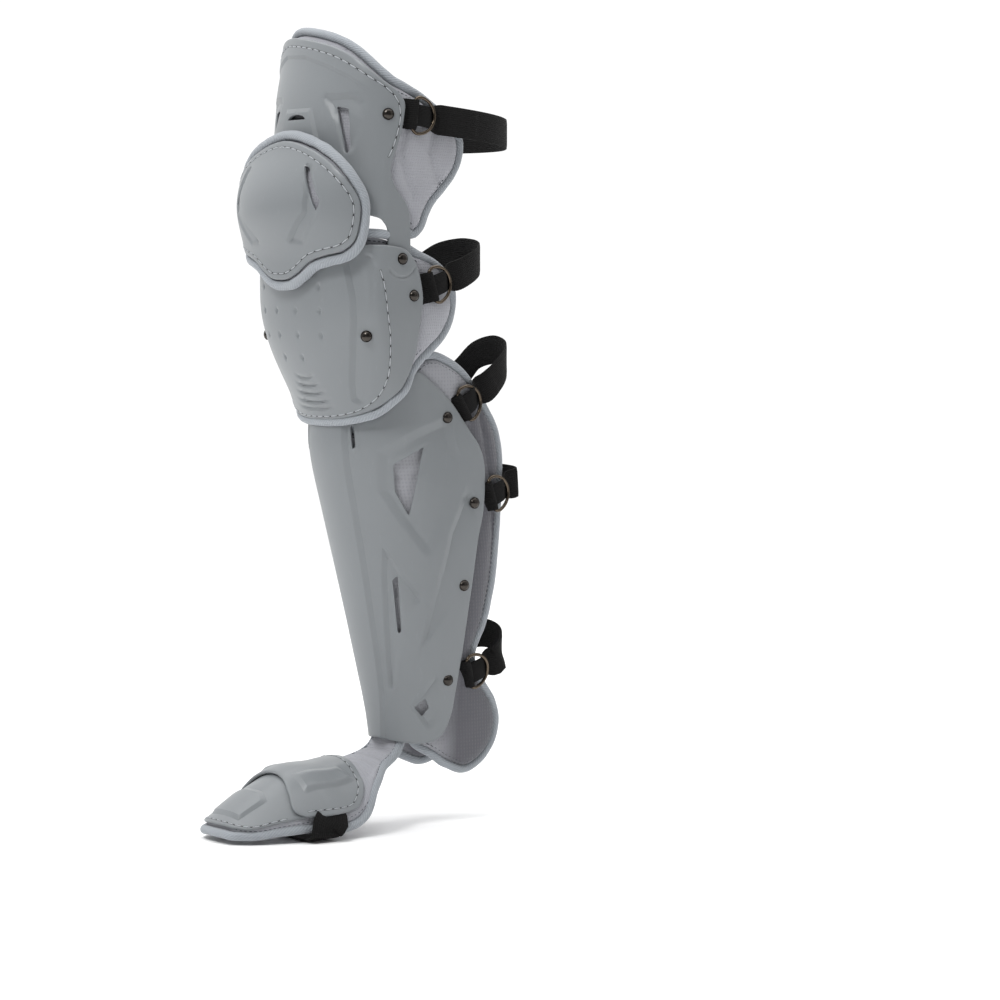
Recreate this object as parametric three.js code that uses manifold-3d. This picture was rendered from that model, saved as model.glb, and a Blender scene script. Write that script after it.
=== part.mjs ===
// Catcher's leg guard: hard shells on bound pads, hinged at the knee, with D-rings and elastic straps.
// Millimetres, +Z up, front towards -Y, the wearer's left towards +X. The origin lies on the inner
// face of the shin pad, on the centre plane, halfway down the shin.
import * as THREE from 'three';
import { mergeVertices } from 'three/addons/utils/BufferGeometryUtils.js';
import Module from 'manifold-3d';

const wasm = await Module();
wasm.setup();

// Driving dimensions
const GAP = 0.35;
const SHELL = 3;
const PAD_FACE = -(SHELL + GAP);
const PAD_BACK = -14;
const THIGH_PAD_BACK = -13;
const CAP_PAD_BACK = -16.5;
const HEM = 4.2;
const ARM_LAYER = -(SHELL + GAP + SHELL + 2 * GAP);
const ROLL = 3.6;
const CAP_ROLL = 4.1;
const ROLL_LIFT = -8;
const WEB_WIDTH = 24;
const TAB_PLY = 1.5;
const STRAP_PLY = 1.8;
const SHELL_TO_BAR = 6.3;
const RING_WIRE = 1.4;
const RING_LIFT = 0.6;
const RING_BAR = 12;
const RING_ARC = { start: 4, reach: 15.5, rise: 14.4 };
const RIVET = { radius: 4.7, dome: 2.5, shank: 1.8, hole: 2.3 };
const PIVOT = { y: -20, z: 260 };
const HUG = 0.0015;
const LOOP_POWER = 0.72;
const FOOT_PAD = 8;
const FOOT_STRAP = { y: -66, low: -199.5, width: 24 };
const REACH = 1000;
const BOW = 0.001;
const ARCH_POWER = 2.4;
const DEG = Math.PI / 180;

const PLASTIC = { color: 0x8f979d, roughness: 0.36, metalness: 0 };
const CLOTH = { color: 0x9a9aa4, roughness: 0.9, metalness: 0 };
const TWILL = { color: 0x9aa6b0, roughness: 0.85, metalness: 0 };
const ELASTIC = { color: 0x0d0d0e, roughness: 0.9, metalness: 0 };
const GUNMETAL = { color: 0x3a3734, roughness: 0.3, metalness: 1 };

// Each form is the outer face of a shell: half width, depth of the front curve and its centre, by height.
const THIGH_ROWS = [
  { z: 450, half: 81.5, depth: 49, centre: -4 },
  { z: 425, half: 82.5, depth: 50, centre: -6 },
  { z: 388, half: 82.5, depth: 50, centre: -12 },
  { z: 355, half: 82.5, depth: 48, centre: -17 },
  { z: 300, half: 82.5, depth: 34, centre: -33 },
  { z: 235, half: 82.5, depth: 34, centre: -33 },
];
const CAP_ROWS = [
  { z: 372, half: 86, depth: 33, centre: -48 },
  { z: 345, half: 88, depth: 47, centre: -48 },
  { z: 315, half: 88, depth: 53.5, centre: -48 },
  { z: 290, half: 88, depth: 54.5, centre: -48 },
  { z: 265, half: 88, depth: 51, centre: -48 },
  { z: 245, half: 88, depth: 45, centre: -48 },
  { z: 226, half: 88, depth: 37, centre: -48 },
];
const KNEE_ROWS = [
  { z: 290, half: 86, depth: 40, centre: -35 },
  { z: 240, half: 86, depth: 40, centre: -35 },
  { z: 215, half: 85, depth: 40, centre: -34 },
  { z: 188, half: 81, depth: 43, centre: -24.5 },
  { z: 160, half: 75.5, depth: 44, centre: -12.5 },
  { z: 136, half: 70, depth: 45, centre: -4 },
  { z: 118, half: 67, depth: 46, centre: 1 },
];
const SHIN_ROWS = [
  { z: 190, half: 69, depth: 48, centre: 10 },
  { z: 136, half: 66.3, depth: 52, centre: 13.5 },
  { z: 112, half: 66.5, depth: 54, centre: 15 },
  { z: 72, half: 66, depth: 55, centre: 23.5 },
  { z: 0, half: 60.5, depth: 51, centre: 37 },
  { z: -35, half: 55, depth: 48, centre: 41.5 },
  { z: -83, half: 47, depth: 44, centre: 47.7 },
  { z: -106, half: 43.5, depth: 42, centre: 50 },
  { z: -165, half: 40, depth: 41, centre: 55 },
];
// The foot's form follows a centre line from the toe up to the ankle: half width and drop of its arch.
const FOOT_ROWS = [
  { y: -146, z: -192, half: 27, drop: 3 },
  { y: -136, z: -185.5, half: 34, drop: 9 },
  { y: -120, z: -175, half: 40, drop: 17 },
  { y: -103, z: -165, half: 46, drop: 25 },
  { y: -85, z: -156, half: 50, drop: 33 },
  { y: -60, z: -150, half: 52, drop: 37 },
  { y: -38, z: -147, half: 51, drop: 34 },
  { y: -24, z: -146, half: 48, drop: 22 },
  { y: -13, z: -146, half: 41, drop: 10 },
  { y: -2, z: -144.5, half: 31, drop: 4 },
  { y: 9.5, z: -141, half: 25, drop: 2 },
  { y: 17.5, z: -133, half: 22, drop: 1.5 },
  { y: 19.4, z: -123, half: 21.5, drop: 1.5 },
  { y: 19.6, z: -113, half: 21.5, drop: 1.5 },
];

// Outlines run from the top centre down one side: x in front, y along the side.
const THIGH_PLATE_EDGE = [
  { x: 0, z: 436 },
  { x: 36, z: 434.5 },
  { x: 57, z: 428 },
  { x: 71, z: 416 },
  { y: -27, z: 402 },
  { y: -19, z: 392 },
  { y: -13.5, z: 382 },
  { y: -13.5, z: 371 },
  { y: -19, z: 355 },
  { y: -25.5, z: 338 },
  { y: -27, z: 327 },
  { y: -22, z: 315 },
  { y: -12, z: 303 },
  { y: -9, z: 293 },
  { y: -8.5, z: 264 },
  { y: -11.5, z: 253 },
  { y: -20, z: 248.5 },
  { y: -28.5, z: 253 },
  { y: -31, z: 263 },
  { y: -31, z: 283 },
  { y: -35, z: 290 },
  { y: -46, z: 294 },
  { x: 48, z: 300 },
  { x: 0, z: 304 },
];
const THIGH_PAD_EDGE = [
  { x: 0, z: 443.5 },
  { x: 36, z: 442 },
  { x: 58, z: 434.5 },
  { x: 73, z: 422 },
  { y: -24, z: 409 },
  { y: -12, z: 398 },
  { y: 2, z: 386 },
  { y: 22, z: 373 },
  { y: 36, z: 359 },
  { y: 37.5, z: 347 },
  { y: 34.5, z: 335 },
  { y: 29, z: 326 },
  { y: 18, z: 315 },
  { y: 8, z: 303 },
  { y: 1, z: 290 },
  { y: -5.5, z: 281 },
  { y: -12, z: 286 },
  { y: -20, z: 296 },
  { y: -34, z: 302 },
  { y: -50, z: 306 },
  { x: 45, z: 311 },
  { x: 0, z: 314 },
];
const CAP_EDGE = [
  { x: 0, z: 358 },
  { x: 40, z: 352.5 },
  { x: 66, z: 339 },
  { x: 79, z: 323 },
  { x: 84, z: 307 },
  { x: 84.5, z: 291 },
  { x: 81.5, z: 276 },
  { x: 72, z: 266.5 },
  { x: 58, z: 261.5 },
  { x: 42, z: 254.5 },
  { x: 27, z: 243.5 },
  { x: 12, z: 236.5 },
  { x: 0, z: 235.5 },
];
const KNEE_PLATE_EDGE = [
  { x: 0, z: 268 },
  { x: 50, z: 270 },
  { y: -45, z: 271 },
  { y: -28, z: 270.5 },
  { y: -14.5, z: 267.5 },
  { y: -5.5, z: 258.5 },
  { y: 0.7, z: 243 },
  { y: 3, z: 225 },
  { y: 0, z: 198 },
  { y: -4, z: 176 },
  { y: -9.5, z: 162 },
  { y: -20, z: 150 },
  { x: 59, z: 141 },
  { x: 36, z: 134 },
  { x: 0, z: 131 },
];
const KNEE_PAD_EDGE = [
  { x: 0, z: 279 },
  { x: 50, z: 280 },
  { y: -44, z: 280.5 },
  { y: -26, z: 277.5 },
  { y: -12, z: 268 },
  { y: 2, z: 260 },
  { y: 16, z: 254.5 },
  { y: 26, z: 246 },
  { y: 30.5, z: 231 },
  { y: 29, z: 214 },
  { y: 22, z: 199 },
  { y: 10, z: 186 },
  { y: 0.8, z: 175 },
  { y: -5, z: 160 },
  { y: -16, z: 146.5 },
  { x: 61, z: 136.2 },
  { x: 36, z: 129.4 },
  { x: 0, z: 126.3 },
];
const SHIN_PLATE_EDGE = [
  { x: 0, z: 127.5 },
  { x: 34, z: 130 },
  { x: 54, z: 137 },
  { y: -12, z: 148 },
  { y: -2, z: 161 },
  { y: 7, z: 170.5 },
  { y: 19, z: 162 },
  { y: 40, z: 144 },
  { y: 57, z: 123 },
  { y: 69, z: 106 },
  { y: 74, z: 93 },
  { y: 74, z: 56 },
  { y: 70, z: 32 },
  { y: 66.5, z: 0 },
  { y: 63, z: -48 },
  { y: 59, z: -90 },
  { y: 55, z: -113 },
  { y: 47, z: -126 },
  { y: 33, z: -132 },
  { x: 26, z: -130 },
  { x: 0, z: -126 },
];
const SHIN_PAD_EDGE = [
  { x: 0, z: 121 },
  { x: 34, z: 124 },
  { x: 54, z: 131 },
  { y: -10, z: 146 },
  { y: 0, z: 163 },
  { y: 9, z: 178 },
  { y: 24, z: 180 },
  { y: 38, z: 176 },
  { y: 52, z: 161 },
  { y: 67, z: 142 },
  { y: 79, z: 121 },
  { y: 84, z: 101 },
  { y: 84, z: 33 },
  { y: 81, z: -8 },
  { y: 77, z: -34 },
  { y: 71, z: -62 },
  { y: 80, z: -82 },
  { y: 93, z: -100 },
  { y: 97, z: -118 },
  { y: 92, z: -136 },
  { y: 81, z: -148 },
  { y: 66, z: -154 },
  { y: 53, z: -150 },
  { y: 36, z: -140 },
  { x: 31, z: -131 },
  { x: 26, z: -118 },
  { x: 14, z: -109.5 },
  { x: 0, z: -109 },
];
const SHIN_PANEL_EDGE = [
  { x: 0, z: 124 },
  { x: 24, z: 124 },
  { x: 26.5, z: 100 },
  { x: 21, z: 19 },
  { x: 16.5, z: -77 },
  { x: 15.5, z: -116 },
  { x: 0, z: -120 },
];
const KNEE_PANEL_EDGE = [
  { x: 0, z: 262 },
  { x: 62, z: 262 },
  { x: 66, z: 235 },
  { x: 66, z: 205 },
  { x: 60, z: 175 },
  { x: 48, z: 152 },
  { x: 24, z: 141 },
  { x: 0, z: 139 },
];
const THIGH_PANEL_EDGE = [
  { x: 0, z: 380 },
  { x: 19, z: 379 },
  { x: 34, z: 352 },
  { x: 40, z: 330 },
  { x: 0, z: 326 },
];
// Foot outlines run from the ankle end down one side to the toe: turn and way forward.
const FOOT_PAD_EDGE = [
  { turn: 0, y: 19.4 },
  { turn: 60, y: 19.3 },
  { turn: 84, y: 18.4 },
  { turn: 86, y: 10 },
  { turn: 86, y: -2 },
  { turn: 86, y: -13 },
  { turn: 86, y: -26 },
  { turn: 86, y: -45 },
  { turn: 86, y: -70 },
  { turn: 86, y: -95 },
  { turn: 86, y: -116 },
  { turn: 82, y: -131 },
  { turn: 66, y: -140 },
  { turn: 34, y: -142 },
  { turn: 0, y: -142.5 },
];
const INSTEP_EDGE = [
  { turn: 0, y: -33 },
  { turn: 34, y: -32 },
  { turn: 58, y: -28 },
  { turn: 72, y: -30 },
  { turn: 77, y: -40 },
  { turn: 77, y: -60 },
  { turn: 77, y: -84 },
  { turn: 72, y: -91 },
  { turn: 52, y: -90 },
  { turn: 26, y: -87 },
  { turn: 0, y: -86 },
];
const TOE_EDGE = [
  { turn: 0, y: -78 },
  { turn: 40, y: -79 },
  { turn: 68, y: -82 },
  { turn: 77, y: -89 },
  { turn: 77, y: -104 },
  { turn: 75, y: -120 },
  { turn: 66, y: -131 },
  { turn: 50, y: -135 },
  { turn: 26, y: -136.5 },
  { turn: 0, y: -137 },
];
// Windows: corners on the wearer's left, mirrored to the right.
const THIGH_SLOT = [{ x: 43, z: 380 }, { x: 54, z: 378 }, { x: 58, z: 344 }, { x: 55.5, z: 343 }];
const THIGH_MOON = [
  { x: -16, z: 368 },
  { x: -11, z: 371.5 },
  { x: 0, z: 373 },
  { x: 11, z: 371.5 },
  { x: 16, z: 368 },
];
const CAP_SLOT = [{ x: 40, z: 333 }, { x: 44, z: 331 }, { x: 65, z: 305 }, { x: 61.5, z: 297.5 }];
const SHIN_SLOT = [{ x: 30, z: 126 }, { x: 33.5, z: 126.5 }, { x: 34, z: 109 }, { x: 31.5, z: 107 }];
const SHIN_WINDOW = [{ y: 15.5, z: 109 }, { y: -10, z: 96 }, { y: -7, z: 74 }, { y: 4, z: 55 }];
const SHIN_SLIT = [{ y: 2, z: 5 }, { y: -1.5, z: 1 }, { y: 3.5, z: -42 }, { y: 6, z: -40 }];
const ANKLE_WINDOW = [{ y: 33, z: -96 }, { y: 25, z: -104 }, { y: 31, z: -111 }, { y: 36, z: -103 }];

// Straps: the ring's bar, the tilt of its pull, the far point of the loop behind and the rivet.
const STRAPS = [
  { name: 'thigh', form: 'thigh', bar: -6.6, z: 373.5, tilt: 0, back: 119, backZ: 361, rivet: -28.5, rivetZ: 373.5, ply: 36 },
  { name: 'knee', form: 'knee', bar: 10.2, z: 238, tilt: 20, back: 84, backZ: 266, rivet: -8.5, rivetZ: 231, ply: 8 },
  { name: 'calf', form: 'shin', bar: 53.4, z: 141, tilt: 30, back: 119, backZ: 186, rivet: 37, rivetZ: 133, ply: 10 },
  { name: 'lower_calf', form: 'shin', bar: 83.7, z: 68, tilt: 6, back: 118, backZ: 80, rivet: 65, rivetZ: 63, ply: 6 },
  { name: 'ankle', form: 'shin', bar: 70.7, z: -78, tilt: 12, back: 114, backZ: -50, rivet: 50, rivetZ: -82, ply: 10 },
];
const PLAIN_RIVETS = [
  { name: 'knee_front_rivet', form: 'knee', y: -46.5, z: 199 },
  { name: 'shin_rivet', form: 'shin', y: 57.5, z: -4 },
];

// Solids and meshes
function toSolid(source) {
  const bare = source.clone();
  bare.deleteAttribute('normal');
  bare.deleteAttribute('uv');
  const merged = mergeVertices(bare, 1e-4);
  return new wasm.Manifold(new wasm.Mesh({
    numProp: 3,
    vertProperties: new Float32Array(merged.attributes.position.array),
    triVerts: new Uint32Array(merged.index.array),
  }));
}

function toGeometry(solid) {
  const { vertProperties, triVerts } = solid.simplify(0.05).getMesh();
  const geometry = new THREE.BufferGeometry();
  geometry.setAttribute('position', new THREE.BufferAttribute(vertProperties, 3));
  geometry.setIndex(new THREE.BufferAttribute(triVerts, 1));
  return geometry;
}

function bend(source, map) {
  const geometry = source.clone();
  const position = geometry.attributes.position;
  for (let i = 0; i < position.count; i += 1) {
    const moved = map(position.getX(i), position.getY(i), position.getZ(i));
    position.setXYZ(i, moved.x, moved.y, moved.z);
  }
  return geometry;
}

// A leg form places a point by its turn round the section in degrees, its height and its lift off
// the surface. Past 90 degrees the section runs straight back, a millimetre for each unit of turn.
function legForm(rows) {
  const sorted = [...rows].sort((p, q) => p.z - q.z);
  const heights = sorted.map((row) => row.z);
  const values = sorted.flatMap((row) => [row.half, row.depth, row.centre]);
  const spline = new THREE.CubicInterpolant(heights, values, 3);
  const section = (z) => {
    const [half, depth, centre] = spline.evaluate(z);
    return { half, depth, centre };
  };
  const place = (turn, z, lift) => {
    const { half, depth, centre } = section(z);
    const angle = Math.min(Math.abs(turn), 90) * DEG;
    const back = Math.max(Math.abs(turn) - 90, 0);
    const out = new THREE.Vector2(Math.sin(angle) / half, -Math.cos(angle) / depth).normalize();
    const x = half * Math.sin(angle) - HUG * back * back + lift * out.x;
    const y = centre - depth * Math.cos(angle) + back + lift * out.y;
    return new THREE.Vector3(Math.sign(turn) * x, y, z);
  };
  const turnOf = (spot) => {
    const { half, depth, centre } = section(spot.z);
    if (spot.x !== undefined) {
      return Math.asin(THREE.MathUtils.clamp(spot.x / half, -1, 1)) / DEG;
    }
    return spot.y > centre ? 90 + spot.y - centre : Math.acos((centre - spot.y) / depth) / DEG;
  };
  const flatten = (spot) => new THREE.Vector3(turnOf(spot), spot.z, 0);
  const pace = (turn, z) => place(turn + 0.5, z, ROLL_LIFT).distanceTo(place(turn - 0.5, z, ROLL_LIFT));
  return { place, turnOf, flatten, pace };
}

// The foot form places a point by its turn (90 at the arch's edge), its way along and its lift.
function footForm(rows) {
  const line = new THREE.CatmullRomCurve3(rows.map((row) => new THREE.Vector3(0, row.y, row.z)));
  const steps = 12;
  const lengths = line.getLengths(steps * (rows.length - 1));
  const total = lengths[lengths.length - 1];
  const stations = rows.map((_, i) => lengths[steps * i]);
  const spline = new THREE.CubicInterpolant(stations, rows.flatMap((row) => [row.half, row.drop]), 2);
  const place = (turn, along, lift) => {
    const [half, drop] = spline.evaluate(along);
    const ratio = THREE.MathUtils.clamp(along / total, 0, 1);
    const centre = line.getPointAt(ratio);
    const tangent = line.getTangentAt(ratio);
    const up = new THREE.Vector3(0, -tangent.z, tangent.y);
    const share = Math.abs(turn) / 90;
    const slope = (ARCH_POWER * drop * share ** (ARCH_POWER - 1)) / half;
    const out = new THREE.Vector2(slope, 1).normalize();
    const x = half * share + lift * out.x;
    return centre.addScaledVector(up, lift * out.y - drop * share ** ARCH_POWER).setX(Math.sign(turn) * x);
  };
  const alongOf = (y) => {
    let along = 0;
    while (along < total && place(0, along, 0).y < y) {
      along += 0.5;
    }
    return along;
  };
  const flatten = (spot) => new THREE.Vector3(spot.turn, alongOf(spot.y), 0);
  const pace = (turn, along) => place(turn + 0.5, along, -4).distanceTo(place(turn - 0.5, along, -4));
  return { place, alongOf, flatten, pace };
}

// A faceted form is flat between lines of turn and height, so the pieces on it lie parallel.
function faceted(form, stepTurn, stepHeight) {
  const place = (turn, height, lift) => {
    const column = Math.floor(turn / stepTurn);
    const line = Math.floor(height / stepHeight);
    const across = turn / stepTurn - column;
    const up = height / stepHeight - line;
    const corner = (i, j) => form.place((column + i) * stepTurn, (line + j) * stepHeight, lift);
    const low = corner(0, 0).lerp(corner(1, 0), across);
    return low.lerp(corner(0, 1).lerp(corner(1, 1), across), up);
  };
  return { ...form, place, stepTurn, stepHeight };
}

const FORMS = {
  thigh: faceted(legForm(THIGH_ROWS), 22.5, 27),
  cap: faceted(legForm(CAP_ROWS), 18, 22),
  knee: faceted(legForm(KNEE_ROWS), 22.5, 26),
  shin: faceted(legForm(SHIN_ROWS), 22.5, 36),
  foot: faceted(footForm(FOOT_ROWS), 22.5, 20),
};

// Flat patterns: a point is a turn and a height. They are cut flat and then bent round the form.
function symmetricOutline(form, rows) {
  const side = rows.map((row) => form.flatten(row));
  const other = side.slice(1, -1).reverse().map((point) => new THREE.Vector3(-point.x, point.y, 0));
  const curve = new THREE.CatmullRomCurve3([...side, ...other], true);
  return curve.getPoints(side.length + other.length).slice(0, -1);
}

function inset(form, outline, distance) {
  return outline.map((point, i) => {
    const before = outline[(i + outline.length - 1) % outline.length];
    const after = outline[(i + 1) % outline.length];
    const pace = form.pace(point.x, point.y);
    const way = new THREE.Vector2((after.x - before.x) * pace, after.y - before.y).normalize();
    return new THREE.Vector3(point.x - (distance * -way.y) / pace, point.y - distance * way.x, 0);
  });
}

function stencil(outline) {
  const shape = new THREE.Shape(outline.map((point) => new THREE.Vector2(point.x, point.y)));
  const block = new THREE.ExtrudeGeometry(shape, { depth: 2 * REACH, bevelEnabled: false });
  return toSolid(block.translate(0, 0, -REACH));
}

const bow = (turn, height) => BOW * (turn * turn + height * height);

function slab(form, edge, back, face) {
  const { stepTurn, stepHeight } = form;
  const box = new THREE.Box3().setFromPoints(edge);
  const left = Math.floor(box.min.x / stepTurn) - 1;
  const low = Math.floor(box.min.y / stepHeight);
  const columns = Math.ceil(box.max.x / stepTurn) + 1 - left;
  const lines = Math.ceil(box.max.y / stepHeight) - low;
  const block = new THREE.BoxGeometry(columns, lines, 1, columns, lines, 1);
  block.translate(left + columns / 2, low + lines / 2, 0).scale(stepTurn, stepHeight, 1);
  const level = (value, turn, height) => (typeof value === 'function' ? value(turn, height) : value);
  return toSolid(bend(block, (turn, height, side) => {
    const lift = level(side < 0 ? back : face, turn, height);
    return new THREE.Vector3(turn, height, lift + bow(turn, height));
  }));
}

function pattern(form, edge, back, face) {
  return slab(form, edge, back, face).intersect(stencil(edge));
}

function wrap(form, flat) {
  const bent = bend(toGeometry(flat), (turn, height, raised) => (
    form.place(turn, height, raised - bow(turn, height))
  ));
  return toSolid(bent);
}

function windows(form, corners) {
  const left = corners.map((corner) => new THREE.Vector3(form.turnOf(corner), corner.z, 0));
  const right = left.map((point) => new THREE.Vector3(-point.x, point.y, 0));
  return stencil(left).add(stencil(right));
}

// A curve whose stations are the points it is drawn through.
class StationCurve extends THREE.CatmullRomCurve3 {
  getPointAt(ratio) {
    return this.getPoint(ratio);
  }

  getTangentAt(ratio) {
    return this.getTangent(ratio);
  }
}

function roll(form, edge, radius, lift) {
  const level = (point) => (typeof lift === 'function' ? lift(point) : lift);
  const points = edge.map((point) => form.place(point.x, point.y, level(point)));
  return new THREE.TubeGeometry(new StationCurve(points, true), points.length, radius, 5, true);
}

function at(geometry, position, xAxis, yAxis, zAxis) {
  const matrix = new THREE.Matrix4().makeBasis(xAxis, yAxis, zAxis).setPosition(position);
  return geometry.clone().applyMatrix4(matrix);
}

// A band bent along a curve. Its faces look away from the axis that the curve winds round.
function band(points, axis, width, thickness, count) {
  const curve = new THREE.CatmullRomCurve3(points);
  return bend(new THREE.BoxGeometry(1, width, 1, count, 1, 1), (along, across, side) => {
    const ratio = along + 0.5;
    const tangent = curve.getTangentAt(ratio);
    const out = new THREE.Vector3().crossVectors(tangent, axis).normalize();
    const over = new THREE.Vector3().crossVectors(out, tangent);
    return curve.getPointAt(ratio).addScaledVector(over, across).addScaledVector(out, side * thickness(ratio));
  });
}

// Rings and webbing lie in a frame of their own: x along the pull, y up the bar, z out of the guard.
function ringCurve() {
  const points = [new THREE.Vector3(0, -RING_BAR, 0), new THREE.Vector3(0, 0, 0), new THREE.Vector3(0, RING_BAR, 0)];
  for (let angle = 90; angle >= -90; angle -= 30) {
    const x = RING_ARC.start + RING_ARC.reach * Math.cos(angle * DEG);
    points.push(new THREE.Vector3(x, RING_ARC.rise * Math.sin(angle * DEG), 0));
  }
  return new THREE.CatmullRomCurve3(points, true);
}

function ringGeometry(radius) {
  return new THREE.TubeGeometry(ringCurve(), 14, radius, 5, true);
}

function tabGeometry() {
  const radius = RING_WIRE + GAP + TAB_PLY;
  const top = PAD_FACE - GAP - RING_LIFT;
  const shape = new THREE.Shape();
  shape.moveTo(-SHELL_TO_BAR - 1, top);
  shape.lineTo(-SHELL_TO_BAR + 0.5, top);
  for (const angle of [160, 105, 50, -5, -60, -115]) {
    shape.lineTo(radius * Math.cos(angle * DEG), radius * Math.sin(angle * DEG));
  }
  shape.lineTo(-SHELL_TO_BAR + 2.2, top - 2 * TAB_PLY);
  shape.lineTo(-SHELL_TO_BAR - 1, top - 2 * TAB_PLY);
  const block = new THREE.ExtrudeGeometry(shape, { depth: WEB_WIDTH, bevelEnabled: false });
  return block.translate(0, 0, -WEB_WIDTH / 2).rotateX(Math.PI / 2);
}

// A strip of webbing lying on a form under the shell, from one place along the pull to another.
function tail(strap, side, from, to, width, back, face) {
  const form = FORMS[strap.form];
  const tilt = strap.tilt * DEG;
  const corner = ([along, across]) => {
    const y = strap.bar + along * Math.cos(tilt) - across * Math.sin(tilt);
    const z = strap.z + along * Math.sin(tilt) + across * Math.cos(tilt);
    return new THREE.Vector3(form.turnOf({ y, z }) * side, z, 0);
  };
  const half = width / 2;
  const corners = [[from, -half], [to, -half], [to, half], [from, half]].map(corner);
  return wrap(form, pattern(form, corners, back, face));
}

function sleeveGeometry(growth) {
  const points = [];
  for (let angle = 54; angle >= -54; angle -= 27) {
    const x = RING_ARC.start + RING_ARC.reach * Math.cos(angle * DEG);
    points.push(new THREE.Vector3(x, RING_ARC.rise * Math.sin(angle * DEG), 0));
  }
  const radius = RING_WIRE + GAP + STRAP_PLY + growth;
  const round = new THREE.Shape();
  for (let side = 0; side < 5; side += 1) {
    const angle = side * 72 * DEG;
    round[side ? 'lineTo' : 'moveTo'](radius * Math.cos(angle), radius * Math.sin(angle));
  }
  const curve = new THREE.CatmullRomCurve3(points);
  return new THREE.ExtrudeGeometry(round, { steps: 4, extrudePath: curve });
}

function ringInside() {
  const disc = new THREE.CylinderGeometry(1, 1, 30, 12).rotateX(Math.PI / 2);
  return disc.scale(RING_ARC.reach, RING_ARC.rise, 1).translate(RING_ARC.start, 0, 0);
}

function inRingFrame(geometry, strap) {
  const form = FORMS[strap.form];
  const turn = form.turnOf({ y: strap.bar, z: strap.z });
  const position = form.place(turn, strap.z, RING_LIFT);
  const back = form.place(turn + 4, strap.z, 0).sub(form.place(turn - 4, strap.z, 0));
  const rise = form.place(turn, strap.z + 8, 0).sub(form.place(turn, strap.z - 8, 0));
  const out = new THREE.Vector3().crossVectors(back, rise).normalize();
  const level = new THREE.Vector3().crossVectors(rise, out).normalize();
  const pull = level.applyAxisAngle(out, strap.tilt * DEG);
  const up = new THREE.Vector3().crossVectors(out, pull);
  return at(geometry, position, pull, up, out);
}

function rivetSpot(formName, spot, side) {
  const form = FORMS[formName];
  const turn = form.turnOf(spot) * side;
  const foot = form.place(turn, spot.z, 0);
  return { foot, out: form.place(turn, spot.z, 1).sub(foot) };
}

function rivetGeometry(spot, length) {
  const profile = [
    [0, -length],
    [RIVET.shank, -length],
    [RIVET.shank, GAP],
    [RIVET.radius, GAP],
    [RIVET.radius * 0.8, GAP + RIVET.dome * 0.65],
    [0, GAP + RIVET.dome],
  ];
  const lathe = new THREE.LatheGeometry(profile.map(([x, y]) => new THREE.Vector2(x, y)), 6);
  const turn = new THREE.Quaternion().setFromUnitVectors(new THREE.Vector3(0, 1, 0), spot.out);
  return lathe.applyQuaternion(turn).translate(...spot.foot.toArray());
}

// What a rivet needs: a hole for its shank and a flat seat for its head.
function rivetRoom(spot, length) {
  const seat = RIVET.radius + GAP;
  const profile = [[0, -length - GAP], [RIVET.hole, -length - GAP], [RIVET.hole, 0], [seat, 0], [seat, 9], [0, 9]];
  const lathe = new THREE.LatheGeometry(profile.map(([x, y]) => new THREE.Vector2(x, y)), 6);
  const turn = new THREE.Quaternion().setFromUnitVectors(new THREE.Vector3(0, 1, 0), spot.out);
  return toSolid(lathe.applyQuaternion(turn).translate(...spot.foot.toArray()));
}

// The object
const guard = new THREE.Group();
guard.name = 'catcher_leg_guard';

function addPiece(name, solid, look) {
  const geometry = solid.isBufferGeometry ? solid : toGeometry(solid);
  const mesh = new THREE.Mesh(geometry, new THREE.MeshStandardMaterial(look));
  mesh.name = name;
  guard.add(mesh);
}

const sideName = (side) => (side > 0 ? 'left' : 'right');

// Straps: each starts round its ring on the left and ends under the shell on the right.
function strapPath(strap) {
  const form = FORMS[strap.form];
  const tilt = strap.tilt * DEG;
  const [start, apex] = [0.5, 1].map((share) => {
    const reach = RING_ARC.start + RING_ARC.reach * share + (share < 1 ? 0 : 7);
    const point = new THREE.BufferGeometry().setFromPoints([new THREE.Vector3(reach, 0, 0)]);
    return new THREE.Vector3().fromBufferAttribute(inRingFrame(point, strap).attributes.position, 0);
  });
  const points = [start, apex];
  for (let angle = 18; angle <= 162; angle += 18) {
    const share = Math.cos(angle * DEG);
    const across = Math.sign(share) * Math.abs(share) ** LOOP_POWER;
    const far = Math.sin(angle * DEG);
    const y = apex.y + (strap.back - apex.y) * far;
    points.push(new THREE.Vector3(apex.x * across, y, apex.z + (strap.backZ - apex.z) * far));
  }
  points.push(new THREE.Vector3(-apex.x, apex.y, apex.z));
  const under = PAD_FACE - STRAP_PLY;
  for (const [along, lift] of [[4, -1.2], [-SHELL_TO_BAR + 2.5, under], [-SHELL_TO_BAR - 3, under]]) {
    const y = strap.bar + along * Math.cos(tilt);
    const z = strap.z + along * Math.sin(tilt);
    points.push(form.place(-form.turnOf({ y, z }), z, lift));
  }
  return points;
}

function strapSolid(strap, growth) {
  const points = strapPath(strap);
  const length = new THREE.CatmullRomCurve3(points).getLength();
  const doubled = (strap.ply + 14) / length;
  const thickness = (ratio) => (ratio < doubled ? 2 * STRAP_PLY : STRAP_PLY) + 2 * growth;
  return toSolid(band(points, new THREE.Vector3(0, 0, 1), WEB_WIDTH + 2 * growth, thickness, 18));
}

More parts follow.
